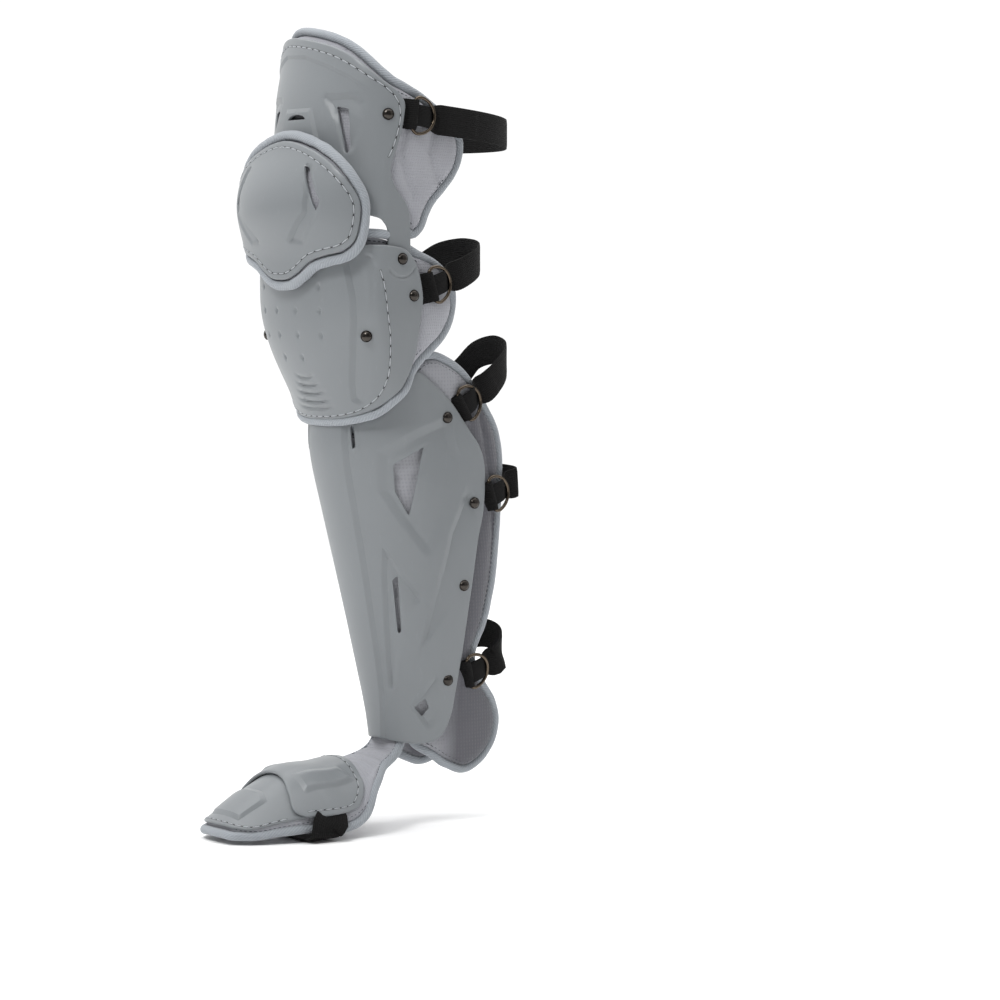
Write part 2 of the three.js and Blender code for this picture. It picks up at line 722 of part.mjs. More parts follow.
const straps = STRAPS.map((strap) => {
  const ring = toSolid(inRingFrame(ringGeometry(RING_WIRE), strap));
  const ringRoom = toSolid(inRingFrame(ringGeometry(RING_WIRE + GAP), strap));
  const end = strap.rivet - strap.bar - 6;
  const tabTop = PAD_FACE - GAP;
  const tabTail = tail(strap, 1, end, -SHELL_TO_BAR + 0.5, WEB_WIDTH, tabTop - 2 * TAB_PLY, tabTop);
  const tab = toSolid(inRingFrame(tabGeometry(), strap)).add(tabTail).subtract(ringRoom);
  const sleeve = toSolid(inRingFrame(sleeveGeometry(0), strap));
  const inside = toSolid(inRingFrame(ringInside(), strap));
  const under = PAD_FACE - 1.5 * STRAP_PLY;
  const strapTail = tail(strap, -1, end, -SHELL_TO_BAR + 1, WEB_WIDTH, under, under + STRAP_PLY);
  const loop = strapSolid(strap, 0).subtract(inside).add(sleeve).add(strapTail).subtract(ringRoom);
  const depth = PAD_FACE - 2 * TAB_PLY - 4 * GAP;
  const rooms = [1, -1].map((side) => tail(strap, side, end - GAP, 3, WEB_WIDTH + 3, depth, 1));
  const sleeveRoom = toSolid(inRingFrame(sleeveGeometry(2 * GAP), strap));
  const room = rooms[0].add(rooms[1]).add(strapSolid(strap, GAP)).add(sleeveRoom);
  return { ...strap, ring, tab, loop, room };
});

const strapOf = (name) => straps.find((strap) => strap.name === name);
const outline = {
  thighPlate: symmetricOutline(FORMS.thigh, THIGH_PLATE_EDGE),
  thighPad: symmetricOutline(FORMS.thigh, THIGH_PAD_EDGE),
  thighPanel: symmetricOutline(FORMS.thigh, THIGH_PANEL_EDGE),
  cap: symmetricOutline(FORMS.cap, CAP_EDGE),
  kneePlate: symmetricOutline(FORMS.knee, KNEE_PLATE_EDGE),
  kneePad: symmetricOutline(FORMS.knee, KNEE_PAD_EDGE),
  kneePanel: symmetricOutline(FORMS.knee, KNEE_PANEL_EDGE),
  shinPlate: symmetricOutline(FORMS.shin, SHIN_PLATE_EDGE),
  shinPad: symmetricOutline(FORMS.shin, SHIN_PAD_EDGE),
  shinPanel: symmetricOutline(FORMS.shin, SHIN_PANEL_EDGE),
  foot: symmetricOutline(FORMS.foot, FOOT_PAD_EDGE),
  instep: symmetricOutline(FORMS.foot, INSTEP_EDGE),
  toe: symmetricOutline(FORMS.foot, TOE_EDGE),
};

// Rivets: each list holds what the shank goes through.
function addRivets(name, formName, spot, length, pierced) {
  for (const side of [1, -1]) {
    const place = rivetSpot(formName, spot, side);
    addPiece(`${name}_${sideName(side)}`, rivetGeometry(place, length), GUNMETAL);
    const hole = rivetRoom(place, length);
    for (const key of pierced) {
      solids[key] = solids[key].subtract(hole);
    }
  }
}

// Shells
const solids = {};
const thighShell = pattern(FORMS.thigh, outline.thighPlate, -SHELL, 0)
  .add(pattern(FORMS.thigh, outline.thighPanel, -1, 1.4))
  .subtract(windows(FORMS.thigh, THIGH_SLOT))
  .subtract(windows(FORMS.thigh, THIGH_MOON));
solids.thigh_plate = wrap(FORMS.thigh, thighShell);
const capShell = pattern(FORMS.cap, inset(FORMS.cap, outline.cap, CAP_ROLL + GAP), -SHELL, 0)
  .subtract(windows(FORMS.cap, CAP_SLOT));
solids.kneecap_plate = wrap(FORMS.cap, capShell);
const kneeShell = pattern(FORMS.knee, outline.kneePlate, -SHELL, 0)
  .add(pattern(FORMS.knee, outline.kneePanel, -1, 1.2));
solids.knee_plate = wrap(FORMS.knee, kneeShell);
const shinShell = pattern(FORMS.shin, outline.shinPlate, -SHELL, 0)
  .add(pattern(FORMS.shin, outline.shinPanel, -1, 1.5))
  .subtract(windows(FORMS.shin, SHIN_SLOT))
  .subtract(windows(FORMS.shin, SHIN_WINDOW))
  .subtract(windows(FORMS.shin, SHIN_SLIT))
  .subtract(windows(FORMS.shin, ANKLE_WINDOW));
solids.shin_plate = wrap(FORMS.shin, shinShell);
const arch = { low: FORMS.foot.alongOf(-74), high: FORMS.foot.alongOf(-50) };
const instepLift = (turn, along) => GAP + 3.4 * (1 - THREE.MathUtils.smoothstep(along, arch.low, arch.high));
const instepFlat = pattern(FORMS.foot, outline.instep, instepLift, (turn, along) => instepLift(turn, along) + SHELL);
solids.instep_plate = wrap(FORMS.foot, instepFlat);
solids.toe_plate = wrap(FORMS.foot, pattern(FORMS.foot, outline.toe, GAP, GAP + SHELL - 0.4));

// Pads
const padOf = (formName, edge, back, face) => (
  wrap(FORMS[formName], pattern(FORMS[formName], inset(FORMS[formName], edge, ROLL + 2 * GAP), back, face))
);
const kneeFace = (turn, z) => THREE.MathUtils.lerp(PAD_FACE - 2 * GAP, ARM_LAYER, THREE.MathUtils.smoothstep(z, 222, 236));
const kneeHem = (turn) => 124 + 52 * (Math.abs(turn) / 95) ** 3;
const kneeBack = (turn, z) => {
  const share = THREE.MathUtils.smoothstep(z - kneeHem(turn), 4, 30);
  return THREE.MathUtils.lerp(PAD_FACE - HEM, PAD_BACK - 2, share);
};
solids.thigh_pad = padOf('thigh', outline.thighPad, THIGH_PAD_BACK, PAD_FACE - 2 * GAP).subtract(strapOf('thigh').room);
solids.knee_pad = padOf('knee', outline.kneePad, kneeBack, kneeFace).subtract(strapOf('knee').room);
solids.shin_pad = padOf('shin', outline.shinPad, PAD_BACK, PAD_FACE);
for (const name of ['calf', 'lower_calf', 'ankle']) {
  solids.shin_pad = solids.shin_pad.subtract(strapOf(name).room);
}
solids.foot_pad = padOf('foot', outline.foot, -FOOT_PAD, -2 * GAP)
  .subtract(toSolid(roll(FORMS.foot, outline.foot, ROLL + GAP, -4)));
const kneeRoom = wrap(
  FORMS.knee,
  pattern(FORMS.knee, inset(FORMS.knee, outline.kneePlate, -GAP), -25, 1.2 + GAP),
);
const capPad = pattern(FORMS.cap, inset(FORMS.cap, outline.cap, CAP_ROLL + GAP), CAP_PAD_BACK, PAD_FACE - GAP);
solids.kneecap_pad = wrap(FORMS.cap, capPad).subtract(kneeRoom);

// Edge rolls
solids.thigh_binding = toSolid(roll(FORMS.thigh, outline.thighPad, ROLL, -8));
solids.kneecap_binding = toSolid(roll(FORMS.cap, outline.cap, CAP_ROLL, -4.5)).subtract(kneeRoom);
const kneeRollLift = (point) => (
  point.y > 240 ? -11.5 : -3.2
);
solids.knee_binding = toSolid(roll(FORMS.knee, outline.kneePad, ROLL, kneeRollLift))
  .subtract(strapSolid(strapOf('knee'), GAP))
  .subtract(strapOf('knee').room);
solids.shin_binding = toSolid(roll(FORMS.shin, outline.shinPad, ROLL, -8.5))
  .subtract(strapSolid(strapOf('ankle'), GAP));
solids.foot_binding = toSolid(roll(FORMS.foot, outline.foot, ROLL, -4));

// Rings, tabs and straps
for (const strap of straps) {
  solids[`${strap.name}_ring_tab`] = strap.tab;
  solids[`${strap.name}_strap`] = strap.loop;
}
for (const strap of straps) {
  const spot = { y: strap.rivet, z: strap.rivetZ };
  const plate = { thigh: 'thigh_plate', knee: 'knee_plate', shin: 'shin_plate' }[strap.form];
  const length = -PAD_FACE + STRAP_PLY - 0.4;
  addRivets(`${strap.name}_rivet`, strap.form, spot, length, [plate, `${strap.form}_pad`, `${strap.name}_ring_tab`, `${strap.name}_strap`]);
  addPiece(`${strap.name}_ring`, strap.ring, GUNMETAL);
}
addRivets('pivot_rivet', 'knee', PIVOT, 2 * SHELL + GAP, ['knee_plate', 'thigh_plate']);
for (const rivet of PLAIN_RIVETS) {
  addRivets(rivet.name, rivet.form, rivet, SHELL, [`${rivet.form}_plate`, `${rivet.form}_pad`]);
}

// The elastic foot strap goes down from the instep plate, under the shoe and up again.
function footStrap() {
  const along = FORMS.foot.alongOf(FOOT_STRAP.y);
  const side = [
    FORMS.foot.place(79, along, 2.9),
    FORMS.foot.place(86, along, 3.4),
    new THREE.Vector3(52.3, FOOT_STRAP.y, -187.5),
    new THREE.Vector3(49.5, FOOT_STRAP.y, -193),
    new THREE.Vector3(36, FOOT_STRAP.y, -197.5),
  ];
  const other = [...side].reverse().map((point) => new THREE.Vector3(-point.x, point.y, point.z));
  const points = [...side, new THREE.Vector3(0, FOOT_STRAP.y, FOOT_STRAP.low), ...other];
  return toSolid(band(points, new THREE.Vector3(0, 1, 0), FOOT_STRAP.width, () => STRAP_PLY, 16));
}
solids.foot_strap = footStrap();

for (const [name, solid] of Object.entries(solids)) {
  const look = [[/plate/, PLASTIC], [/pad/, CLOTH], [/binding/, TWILL], [/strap|tab/, ELASTIC]]
    .find(([test]) => test.test(name))[1];
  addPiece(name, solid, look);
}

export default guard;
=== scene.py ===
# The dressed catcher leg guard: moulded shells, bound pads, lock stitching, rivets, rings and straps.
import math

import bpy
import numpy as np
from mathutils import Matrix, Vector, geometry, noise


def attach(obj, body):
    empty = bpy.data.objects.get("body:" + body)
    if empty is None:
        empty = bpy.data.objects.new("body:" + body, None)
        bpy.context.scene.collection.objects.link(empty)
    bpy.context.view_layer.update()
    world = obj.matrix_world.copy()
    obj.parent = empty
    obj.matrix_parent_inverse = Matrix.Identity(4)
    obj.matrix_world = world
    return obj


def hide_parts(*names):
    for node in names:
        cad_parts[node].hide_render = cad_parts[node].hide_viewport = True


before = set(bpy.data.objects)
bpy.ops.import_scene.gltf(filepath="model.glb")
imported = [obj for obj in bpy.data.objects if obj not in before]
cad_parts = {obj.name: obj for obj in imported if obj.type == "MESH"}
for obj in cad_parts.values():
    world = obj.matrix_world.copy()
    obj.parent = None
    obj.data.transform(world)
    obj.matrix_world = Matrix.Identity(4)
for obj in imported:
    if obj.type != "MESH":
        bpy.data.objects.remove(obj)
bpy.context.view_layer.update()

for left_selected in bpy.context.selected_objects:
    left_selected.select_set(False)

# Driving dimensions, in millimetres, the same as the solids'.
GAP = 0.35
SHELL = 3.0
PAD_FACE = -3.35
ROLL = 3.6
CAP_ROLL = 4.1
WEB_WIDTH = 24.0
TAB_PLY = 1.5
STRAP_PLY = 1.8
SHELL_TO_BAR = 6.3
RING_WIRE = 1.4
RING_LIFT = 0.6
RING_BAR = 12.0
RING_START, RING_REACH, RING_RISE = 4.0, 15.5, 14.4
HUG = 0.0015
LOOP_POWER = 0.72
ARCH_POWER = 2.4
THIGH_TILT = 0.16
# A strap is narrower where it passes its ring, and the foot's is wider.
WEB_NECK = 17.0
FOOT_WEB = 28.0
# How deep the relief may sink, how sharp a shaded edge is, in degrees, and how cut edges are rounded.
DEEPEST = 2.4
SHARP = 24
EDGE_ROUND, WINDOW_ROUND = 1.5, 0.7
# Stitches: length, gap and radius.
SHELL_STITCH = (7.6, 1.2, 0.6)
FOOT_STITCH = (6.2, 1.2, 0.54)
PAD_STITCH = (2.6, 1.3, 0.42)

# Forms: height, half width, depth of the front curve and its centre.
THIGH_ROWS = [
    (450, 81.5, 45, -4),
    (425, 82.5, 47.5, -6),
    (388, 82.5, 49.2, -12),
    (355, 82.5, 46.5, -17),
    (300, 82.5, 34, -33),
    (235, 82.5, 34, -33),
]
CAP_ROWS = [
    (372, 86, 24, -48),
    (345, 88, 32, -48),
    (330, 88, 40, -48),
    (315, 88, 46.5, -48),
    (300, 88, 48.5, -48),
    (285, 88, 44.5, -48),
    (265, 88, 36, -48),
    (245, 88, 33, -48),
    (226, 88, 32, -48),
]
KNEE_ROWS = [
    (290, 86, 38, -35),
    (240, 86, 36.5, -35),
    (215, 85, 36, -34),
    (188, 81, 41, -24.5),
    (160, 75.5, 42.5, -12.5),
    (136, 70, 42, -4),
    (118, 67, 43, 1),
]
SHIN_ROWS = [
    (190, 69, 48, 10),
    (136, 66.3, 52, 13.5),
    (112, 66.5, 54, 15),
    (72, 66, 55, 23.5),
    (0, 60.5, 51, 37),
    (-35, 55, 48, 41.5),
    (-83, 47, 44, 47.7),
    (-106, 43.5, 42, 50),
    (-165, 40, 41, 55),
]
# The foot's centre line from the toe to the ankle: y, z, half width and drop of the arch.
FOOT_ROWS = [
    (-146, -192, 27, 3),
    (-136, -185.5, 34, 9),
    (-120, -175, 40, 17),
    (-103, -165, 46, 25),
    (-85, -156, 50, 33),
    (-60, -150, 52, 37),
    (-38, -147, 51, 34),
    (-24, -146, 48, 22),
    (-13, -146, 41, 10),
    (-2, -144.5, 31, 4),
    (9.5, -141, 25, 2),
    (17.5, -133, 22, 1.5),
    (19.4, -123, 21.5, 1.5),
    (19.6, -113, 21.5, 1.5),
]

# Outlines run from the top centre down the wearer's left side: x in front, y along the side, and z.
THIGH_PLATE_EDGE = [
    ("x", 0, 435), ("x", 36, 432.5), ("x", 57, 425.5), ("x", 69, 415), ("y", -28, 402),
    ("y", -21, 392.5), ("y", -14.5, 383), ("y", -15, 373), ("y", -19, 356), ("y", -25.5, 339),
    ("y", -28, 328), ("y", -23.5, 316.5), ("y", -13, 303.5), ("y", -9.5, 294), ("y", -9, 264),
    ("y", -11.5, 253), ("y", -20, 248.5), ("y", -28.5, 253), ("y", -31, 263), ("y", -31, 283),
    ("y", -36, 290), ("y", -46, 294), ("x", 48, 300), ("x", 0, 304),
]
THIGH_PAD_EDGE = [
    ("x", 0, 440.5), ("x", 36, 437.5), ("x", 58, 429), ("x", 73, 417), ("y", -21, 404.5),
    ("y", -8, 395.5), ("y", 8, 386), ("y", 28, 373), ("y", 43, 361), ("y", 46.3, 348), ("y", 43.5, 336),
    ("y", 38, 327), ("y", 27, 315.5), ("y", 17, 306), ("y", 10.5, 296), ("y", 6, 286), ("y", -3, 279.5),
    ("y", -12, 285), ("y", -20, 296), ("y", -34, 302), ("y", -50, 306), ("x", 45, 311), ("x", 0, 314),
]
CAP_EDGE = [
    ("x", 0, 358.5), ("x", 38, 351.5), ("x", 68, 337.5), ("x", 82.5, 322), ("y", -55, 306),
    ("y", -55, 288), ("x", 84, 271.5), ("x", 74.5, 262), ("x", 57, 258), ("x", 42, 254),
    ("x", 27, 245.5), ("x", 13, 240), ("x", 0, 239),
]
KNEE_PLATE_EDGE = [
    ("x", 0, 268), ("x", 50, 270), ("y", -45, 271), ("y", -30, 270.3), ("y", -16, 267.2),
    ("y", -7, 258.5), ("y", -0.8, 243), ("y", 1.5, 225), ("y", -1.5, 198), ("y", -5, 176),
    ("y", -10.5, 162), ("y", -20, 150), ("x", 59, 141), ("x", 36, 134), ("x", 0, 131.5),
]
KNEE_PAD_EDGE = [
    ("x", 0, 279), ("x", 50, 280), ("y", -44, 280), ("y", -26, 277.5), ("y", -10, 269.5), ("y", 4, 263),
    ("y", 18, 257.5), ("y", 31, 248.5), ("y", 38, 233), ("y", 37, 216), ("y", 29, 200), ("y", 16, 188),
    ("y", 4, 177), ("y", -5, 162), ("y", -17, 148.5), ("x", 61, 138.8), ("x", 36, 131.6),
    ("x", 0, 129.5),
]
SHIN_PLATE_EDGE = [
    ("x", 0, 127.5), ("x", 34, 130), ("x", 54, 137), ("y", -12, 148), ("y", -2, 161), ("y", 7, 170.5),
    ("y", 21, 162.5), ("y", 42, 145), ("y", 59, 124.5), ("y", 72, 108.5), ("y", 77, 94),
    ("y", 75.8, 57), ("y", 70.5, 32), ("y", 67, 0), ("y", 63.5, -48), ("y", 59.7, -90),
    ("y", 56.5, -112), ("y", 49, -127), ("y", 36, -133.5), ("x", 22, -133), ("x", 0, -130.5),
]
SHIN_PAD_EDGE = [
    ("x", 0, 121), ("x", 34, 124), ("x", 54, 131), ("y", -10, 146), ("y", 0, 163), ("y", 9, 179),
    ("y", 25, 183), ("y", 41, 178), ("y", 55, 170), ("y", 66, 160), ("y", 82, 141), ("y", 95, 121),
    ("y", 99.3, 101), ("y", 97.5, 70), ("y", 95, 33), ("y", 92, -8), ("y", 87, -36), ("y", 77.5, -65),
    ("y", 89, -85), ("y", 104, -103), ("y", 110, -120), ("y", 105, -139), ("y", 91, -153),
    ("y", 75, -158.5), ("y", 61, -154), ("y", 42, -143.5), ("x", 31, -134), ("x", 26, -120),
    ("x", 14, -111), ("x", 0, -110),
]
# Foot outlines run from the ankle to the toe: turn round the arch (90 at its edge) and way forward.
FOOT_PAD_EDGE = [
    (0, 19.4), (50, 19.3), (76, 18.4), (80, 10), (82, -2), (88, -13), (93, -26), (94, -45), (95, -70),
    (95, -95), (95, -118), (92, -133), (74, -142.5), (38, -144.5), (0, -145),
]
INSTEP_EDGE = [
    (0, -24), (34, -26), (58, -28), (75, -31), (84, -40), (86, -56), (87, -80), (87, -98), (78, -103),
    (54, -96), (27, -89), (0, -87),
]
TOE_EDGE = [
    (0, -80), (40, -81), (70, -86), (84, -94), (86, -106), (86, -122), (84, -133), (66, -139.5),
    (34, -141.5), (0, -142),
]

# Windows, in the same terms, and relief lines as turns in degrees and heights.
THIGH_SLOT = [("x", 43, 380), ("x", 54, 378), ("x", 57.5, 344), ("x", 54.5, 343)]
THIGH_MOON = [("x", -13, 371), ("x", 13, 371), ("x", 9, 373.8), ("x", 0, 375), ("x", -9, 373.8)]
CAP_SLOT = [("x", 40, 333), ("x", 44, 331.5), ("x", 62.5, 305), ("x", 58.5, 297.5)]
SHIN_SLOT = [("x", 30, 127), ("x", 33.5, 127), ("x", 34.5, 110), ("x", 31.5, 108)]
SHIN_WINDOW = [("y", 14.5, 109.5), ("y", -10, 96), ("y", -7, 74), ("y", 4, 54.5)]
SHIN_SLIT = [("y", 1.5, 5), ("y", -1, 2), ("y", 7.6, -42), ("y", 9.4, -41)]
ANKLE_WINDOW = [("y", 32, -97), ("y", 25, -104), ("y", 31, -111.5), ("y", 35.5, -104)]

# Straps: form, ring bar, height, tilt, back of the loop and its height, rivet, its height, doubled length.
STRAPS = {
    "thigh": ("thigh", -6.6, 373.5, 0, 119, 361, -28.5, 373.5, 36),
    "knee": ("knee", 10.2, 238, 20, 84, 266, -8.5, 231, 8),
    "calf": ("shin", 53.4, 141, 30, 119, 186, 37, 133, 10),
    "lower_calf": ("shin", 83.7, 68, 6, 118, 80, 65, 63, 6),
    "ankle": ("shin", 70.7, -78, 12, 114, -50, 50, -82, 10),
}
PLAIN_RIVETS = {"knee_front_rivet": ("knee", -46.5, 199), "shin_rivet": ("shin", 57.5, -4)}
PIVOT = ("knee", -20, 260)


# Forms
def ease(share):
    share = np.clip(share, 0.0, 1.0)
    return share * share * (3.0 - 2.0 * share)


class Spline:
    """A smooth curve through rows of values."""

    def __init__(self, stations, values):
        self.x = np.asarray(stations, float)
        self.y = np.asarray(values, float)
        count = len(self.x)
        step = np.diff(self.x)
        slope = np.diff(self.y, axis=0) / step[:, None]
        table = np.eye(count)
        right = np.zeros_like(self.y)
        for i in range(1, count - 1):
            table[i, i - 1 : i + 2] = step[i - 1], 2 * (step[i - 1] + step[i]), step[i]
            right[i] = 6 * (slope[i] - slope[i - 1])
        self.bend = np.linalg.solve(table, right)

    def __call__(self, at):
        at = np.clip(np.asarray(at, float), self.x[0], self.x[-1])
        i = np.clip(np.searchsorted(self.x, at) - 1, 0, len(self.x) - 2)
        step = (self.x[i + 1] - self.x[i])[..., None]
        low = (self.x[i + 1] - at)[..., None] / step
        high = 1 - low
        curve = (low**3 - low) * self.bend[i] + (high**3 - high) * self.bend[i + 1]
        return low * self.y[i] + high * self.y[i + 1] + curve * step * step / 6


class Form:
    """A surface to wrap flat patterns round. Flat coordinates are millimetres across and along."""

    def measure(self, reference):
        turns = np.linspace(0, 230, 921)
        points = self.place(turns, np.full_like(turns, reference), -4)
        steps = np.linalg.norm(np.diff(points, axis=0), axis=1)
        self.turns = turns
        self.across = np.concatenate([[0], np.cumsum(steps)])

    def flat(self, turn):
        return np.sign(turn) * np.interp(np.abs(turn), self.turns, self.across)

    def unflat(self, across):
        return np.sign(across) * np.interp(np.abs(across), self.across, self.turns)

    def wrap(self, points, lift):
        return self.place(self.unflat(points[:, 0]), points[:, 1], lift)

    def outward(self, points):
        return self.wrap(points, np.ones(len(points))) - self.wrap(points, np.zeros(len(points)))

    def line(self, corners):
        return np.array([[float(self.flat(turn)), self.along(way)] for turn, way in corners])


class LegForm(Form):
    def __init__(self, rows, reference):
        rows = sorted(rows)
        self.spline = Spline([row[0] for row in rows], [row[1:] for row in rows])
        self.measure(reference)

    def place(self, turn, z, lift):
        turn, z = np.asarray(turn, float), np.asarray(z, float)
        half, depth, centre = np.moveaxis(self.spline(z), -1, 0)
        angle = np.radians(np.minimum(np.abs(turn), 90))
        back = np.maximum(np.abs(turn) - 90, 0)
        out_x, out_y = np.sin(angle) / half, -np.cos(angle) / depth
        size = np.hypot(out_x, out_y)
        x = half * np.sin(angle) - HUG * back * back + lift * out_x / size
        y = centre - depth * np.cos(angle) + back + lift * out_y / size
        return np.stack([np.where(turn < 0, -x, x), y, z + 0 * x], -1)

    def along(self, z):
        return z

    def spot(self, kind, value, z):
        half, depth, centre = self.spline(z)
        if kind == "x":
            turn = math.degrees(math.asin(max(-1, min(1, value / half))))
        elif value > centre:
            turn = 90 + value - centre
        else:
            turn = math.degrees(math.acos((centre - value) / depth))
        return [float(self.flat(turn)), z]

    def edge(self, rows):
        return [self.spot(*row) for row in rows]


class FootForm(Form):
    def __init__(self, rows, reference):
        rows = np.array(rows, float)
        steps = np.linalg.norm(np.diff(rows[:, :2], axis=0), axis=1)
        stations = np.concatenate([[0], np.cumsum(steps)])
        self.spline = Spline(stations, rows)
        self.total = stations[-1]
        self.measure(self.along(reference))

    def place(self, turn, along, lift):
        turn, along = np.asarray(turn, float), np.asarray(along, float)
        y, z, half, drop = np.moveaxis(self.spline(along), -1, 0)
        inner = np.clip(along, 1, self.total - 1)
        ahead = self.spline(inner + 0.5)[..., :2] - self.spline(inner - 0.5)[..., :2]
        ahead /= np.linalg.norm(ahead, axis=-1, keepdims=True)
        share = np.abs(turn) / 90
        slope = ARCH_POWER * drop * share ** (ARCH_POWER - 1) / half
        size = np.hypot(slope, 1)
        up = lift / size - drop * share**ARCH_POWER
        x = half * share + lift * slope / size
        over = along - np.clip(along, 0, self.total)
        y = y - ahead[..., 1] * up + over * ahead[..., 0]
        z = z + ahead[..., 0] * up + over * ahead[..., 1]
        return np.stack([np.where(turn < 0, -x, x), y, z], -1)

    def along(self, y):
        stations = np.linspace(0, self.total, 2000)
        return float(stations[np.argmax(self.spline(stations)[:, 0] >= y)])

    def edge(self, rows):
        return [[float(self.flat(turn)), self.along(y)] for turn, y in rows]


FORMS = {
    "thigh": LegForm(THIGH_ROWS, 370),
    "cap": LegForm(CAP_ROWS, 300),
    "knee": LegForm(KNEE_ROWS, 215),
    "shin": LegForm(SHIN_ROWS, 60),
    "foot": FootForm(FOOT_ROWS, -70),
}


# Flat patterns
def resample(line, spacing, closed=True):
    line = np.asarray(line, float)
    if closed:
        line = np.vstack([line, line[:1]])
    steps = np.linalg.norm(np.diff(line, axis=0), axis=1)
    far = np.concatenate([[0], np.cumsum(steps)])
    count = max(2, round(far[-1] / spacing))
    at = np.linspace(0, far[-1], count + 1)
    if closed:
        at = at[:-1]
    return np.stack([np.interp(at, far, line[:, k]) for k in range(line.shape[1])], 1)


def smooth_line(points, closed=True, steps=8):
    """A centripetal spline through the points."""
    points = np.asarray(points, float)
    if not closed:
        points = np.vstack([2 * points[0] - points[1], points, 2 * points[-1] - points[-2]])
    out = []
    count = len(points)
    for i in range(count if closed else count - 3):
        quad = [points[(i + k - 1) % count] if closed else points[i + k] for k in range(4)]
        knots = [0.0]
        for first, second in zip(quad, quad[1:]):
            knots.append(knots[-1] + max(np.linalg.norm(second - first) ** 0.5, 1e-3))
        for k in range(steps):
            at = knots[1] + (knots[2] - knots[1]) * k / steps
            level = list(quad)
            for span in (1, 2, 3):
                for j in range(4 - span):
                    low, high = knots[j], knots[j + span]
                    if span == 3:
                        low, high = knots[1], knots[2]
                    elif span == 2:
                        low, high = knots[j], knots[j + 2]
                    share = (at - low) / (high - low)
                    level[j] = level[j] + (level[j + 1] - level[j]) * share
            out.append(level[0])
    if not closed:
        out.append(points[-2])
    return np.array(out)


def outline(form, rows, tilt=0.0):
    side = np.array(FORMS[form].edge(rows))
    other = side[1:-1][::-1] * [-1, 1]
    loop = smooth_line(np.vstack([side, other]))[::-1]
    return resample(tilted(loop, tilt), 2.0)


def tilted(points, tilt):
    points = np.array(points, float)
    points[:, 1] -= tilt * np.clip(points[:, 0], -85, 85) * ease((points[:, 1] - 388) / 40)
    return points


def window(form, rows, side=1):
    loop = np.array(FORMS[form].edge(rows)) * [side, 1]
    area = np.sum(loop[:, 0] * np.roll(loop[:, 1], -1) - loop[:, 1] * np.roll(loop[:, 0], -1))
    if area < 0:
        loop = loop[::-1]
    loop = resample(loop, 1.2)
    loop = (np.roll(loop, 1, 0) + 2 * loop + np.roll(loop, -1, 0)) / 4
    return resample(loop, 1.3)


def offset(loop, distance):
    ahead = np.roll(loop, -1, 0) - np.roll(loop, 1, 0)
    ahead /= np.linalg.norm(ahead, axis=1, keepdims=True)
    return loop + distance * np.stack([-ahead[:, 1], ahead[:, 0]], 1)


def segments(line, closed):
    line = np.asarray(line, float)
    return (line, np.roll(line, -1, 0)) if closed else (line[:-1], line[1:])


def away(points, line, closed=False):
    """How far each point is from a line, and how far along the line its nearest place is."""
    starts, stops = segments(line, closed)
    lengths = np.linalg.norm(stops - starts, axis=1)
    passed = np.concatenate([[0], np.cumsum(lengths)])
    best = np.full(len(points), 1e9)
    share = np.zeros(len(points))
    for i, (start, stop) in enumerate(zip(starts, stops)):
        step = stop - start
        at = np.clip(((points - start) @ step) / max(step @ step, 1e-9), 0, 1)
        gap = points - start - at[:, None] * step
        distance = np.hypot(gap[:, 0], gap[:, 1])
        nearer = distance < best
        best[nearer] = distance[nearer]
        share[nearer] = (passed[i] + at[nearer] * lengths[i]) / passed[-1]
    return best, share


def inside(points, loop):
    within = np.zeros(len(points), bool)
    for start, stop in zip(*segments(loop, True)):
        cross = (start[1] > points[:, 1]) != (stop[1] > points[:, 1])
        if cross.any():
            reach = start[0] + (points[:, 1] - start[1]) / (stop[1] - start[1]) * (stop[0] - start[0])
            within ^= cross & (points[:, 0] < reach)
    return within


def mirrored(line):
    return np.asarray(line) * [-1, 1]


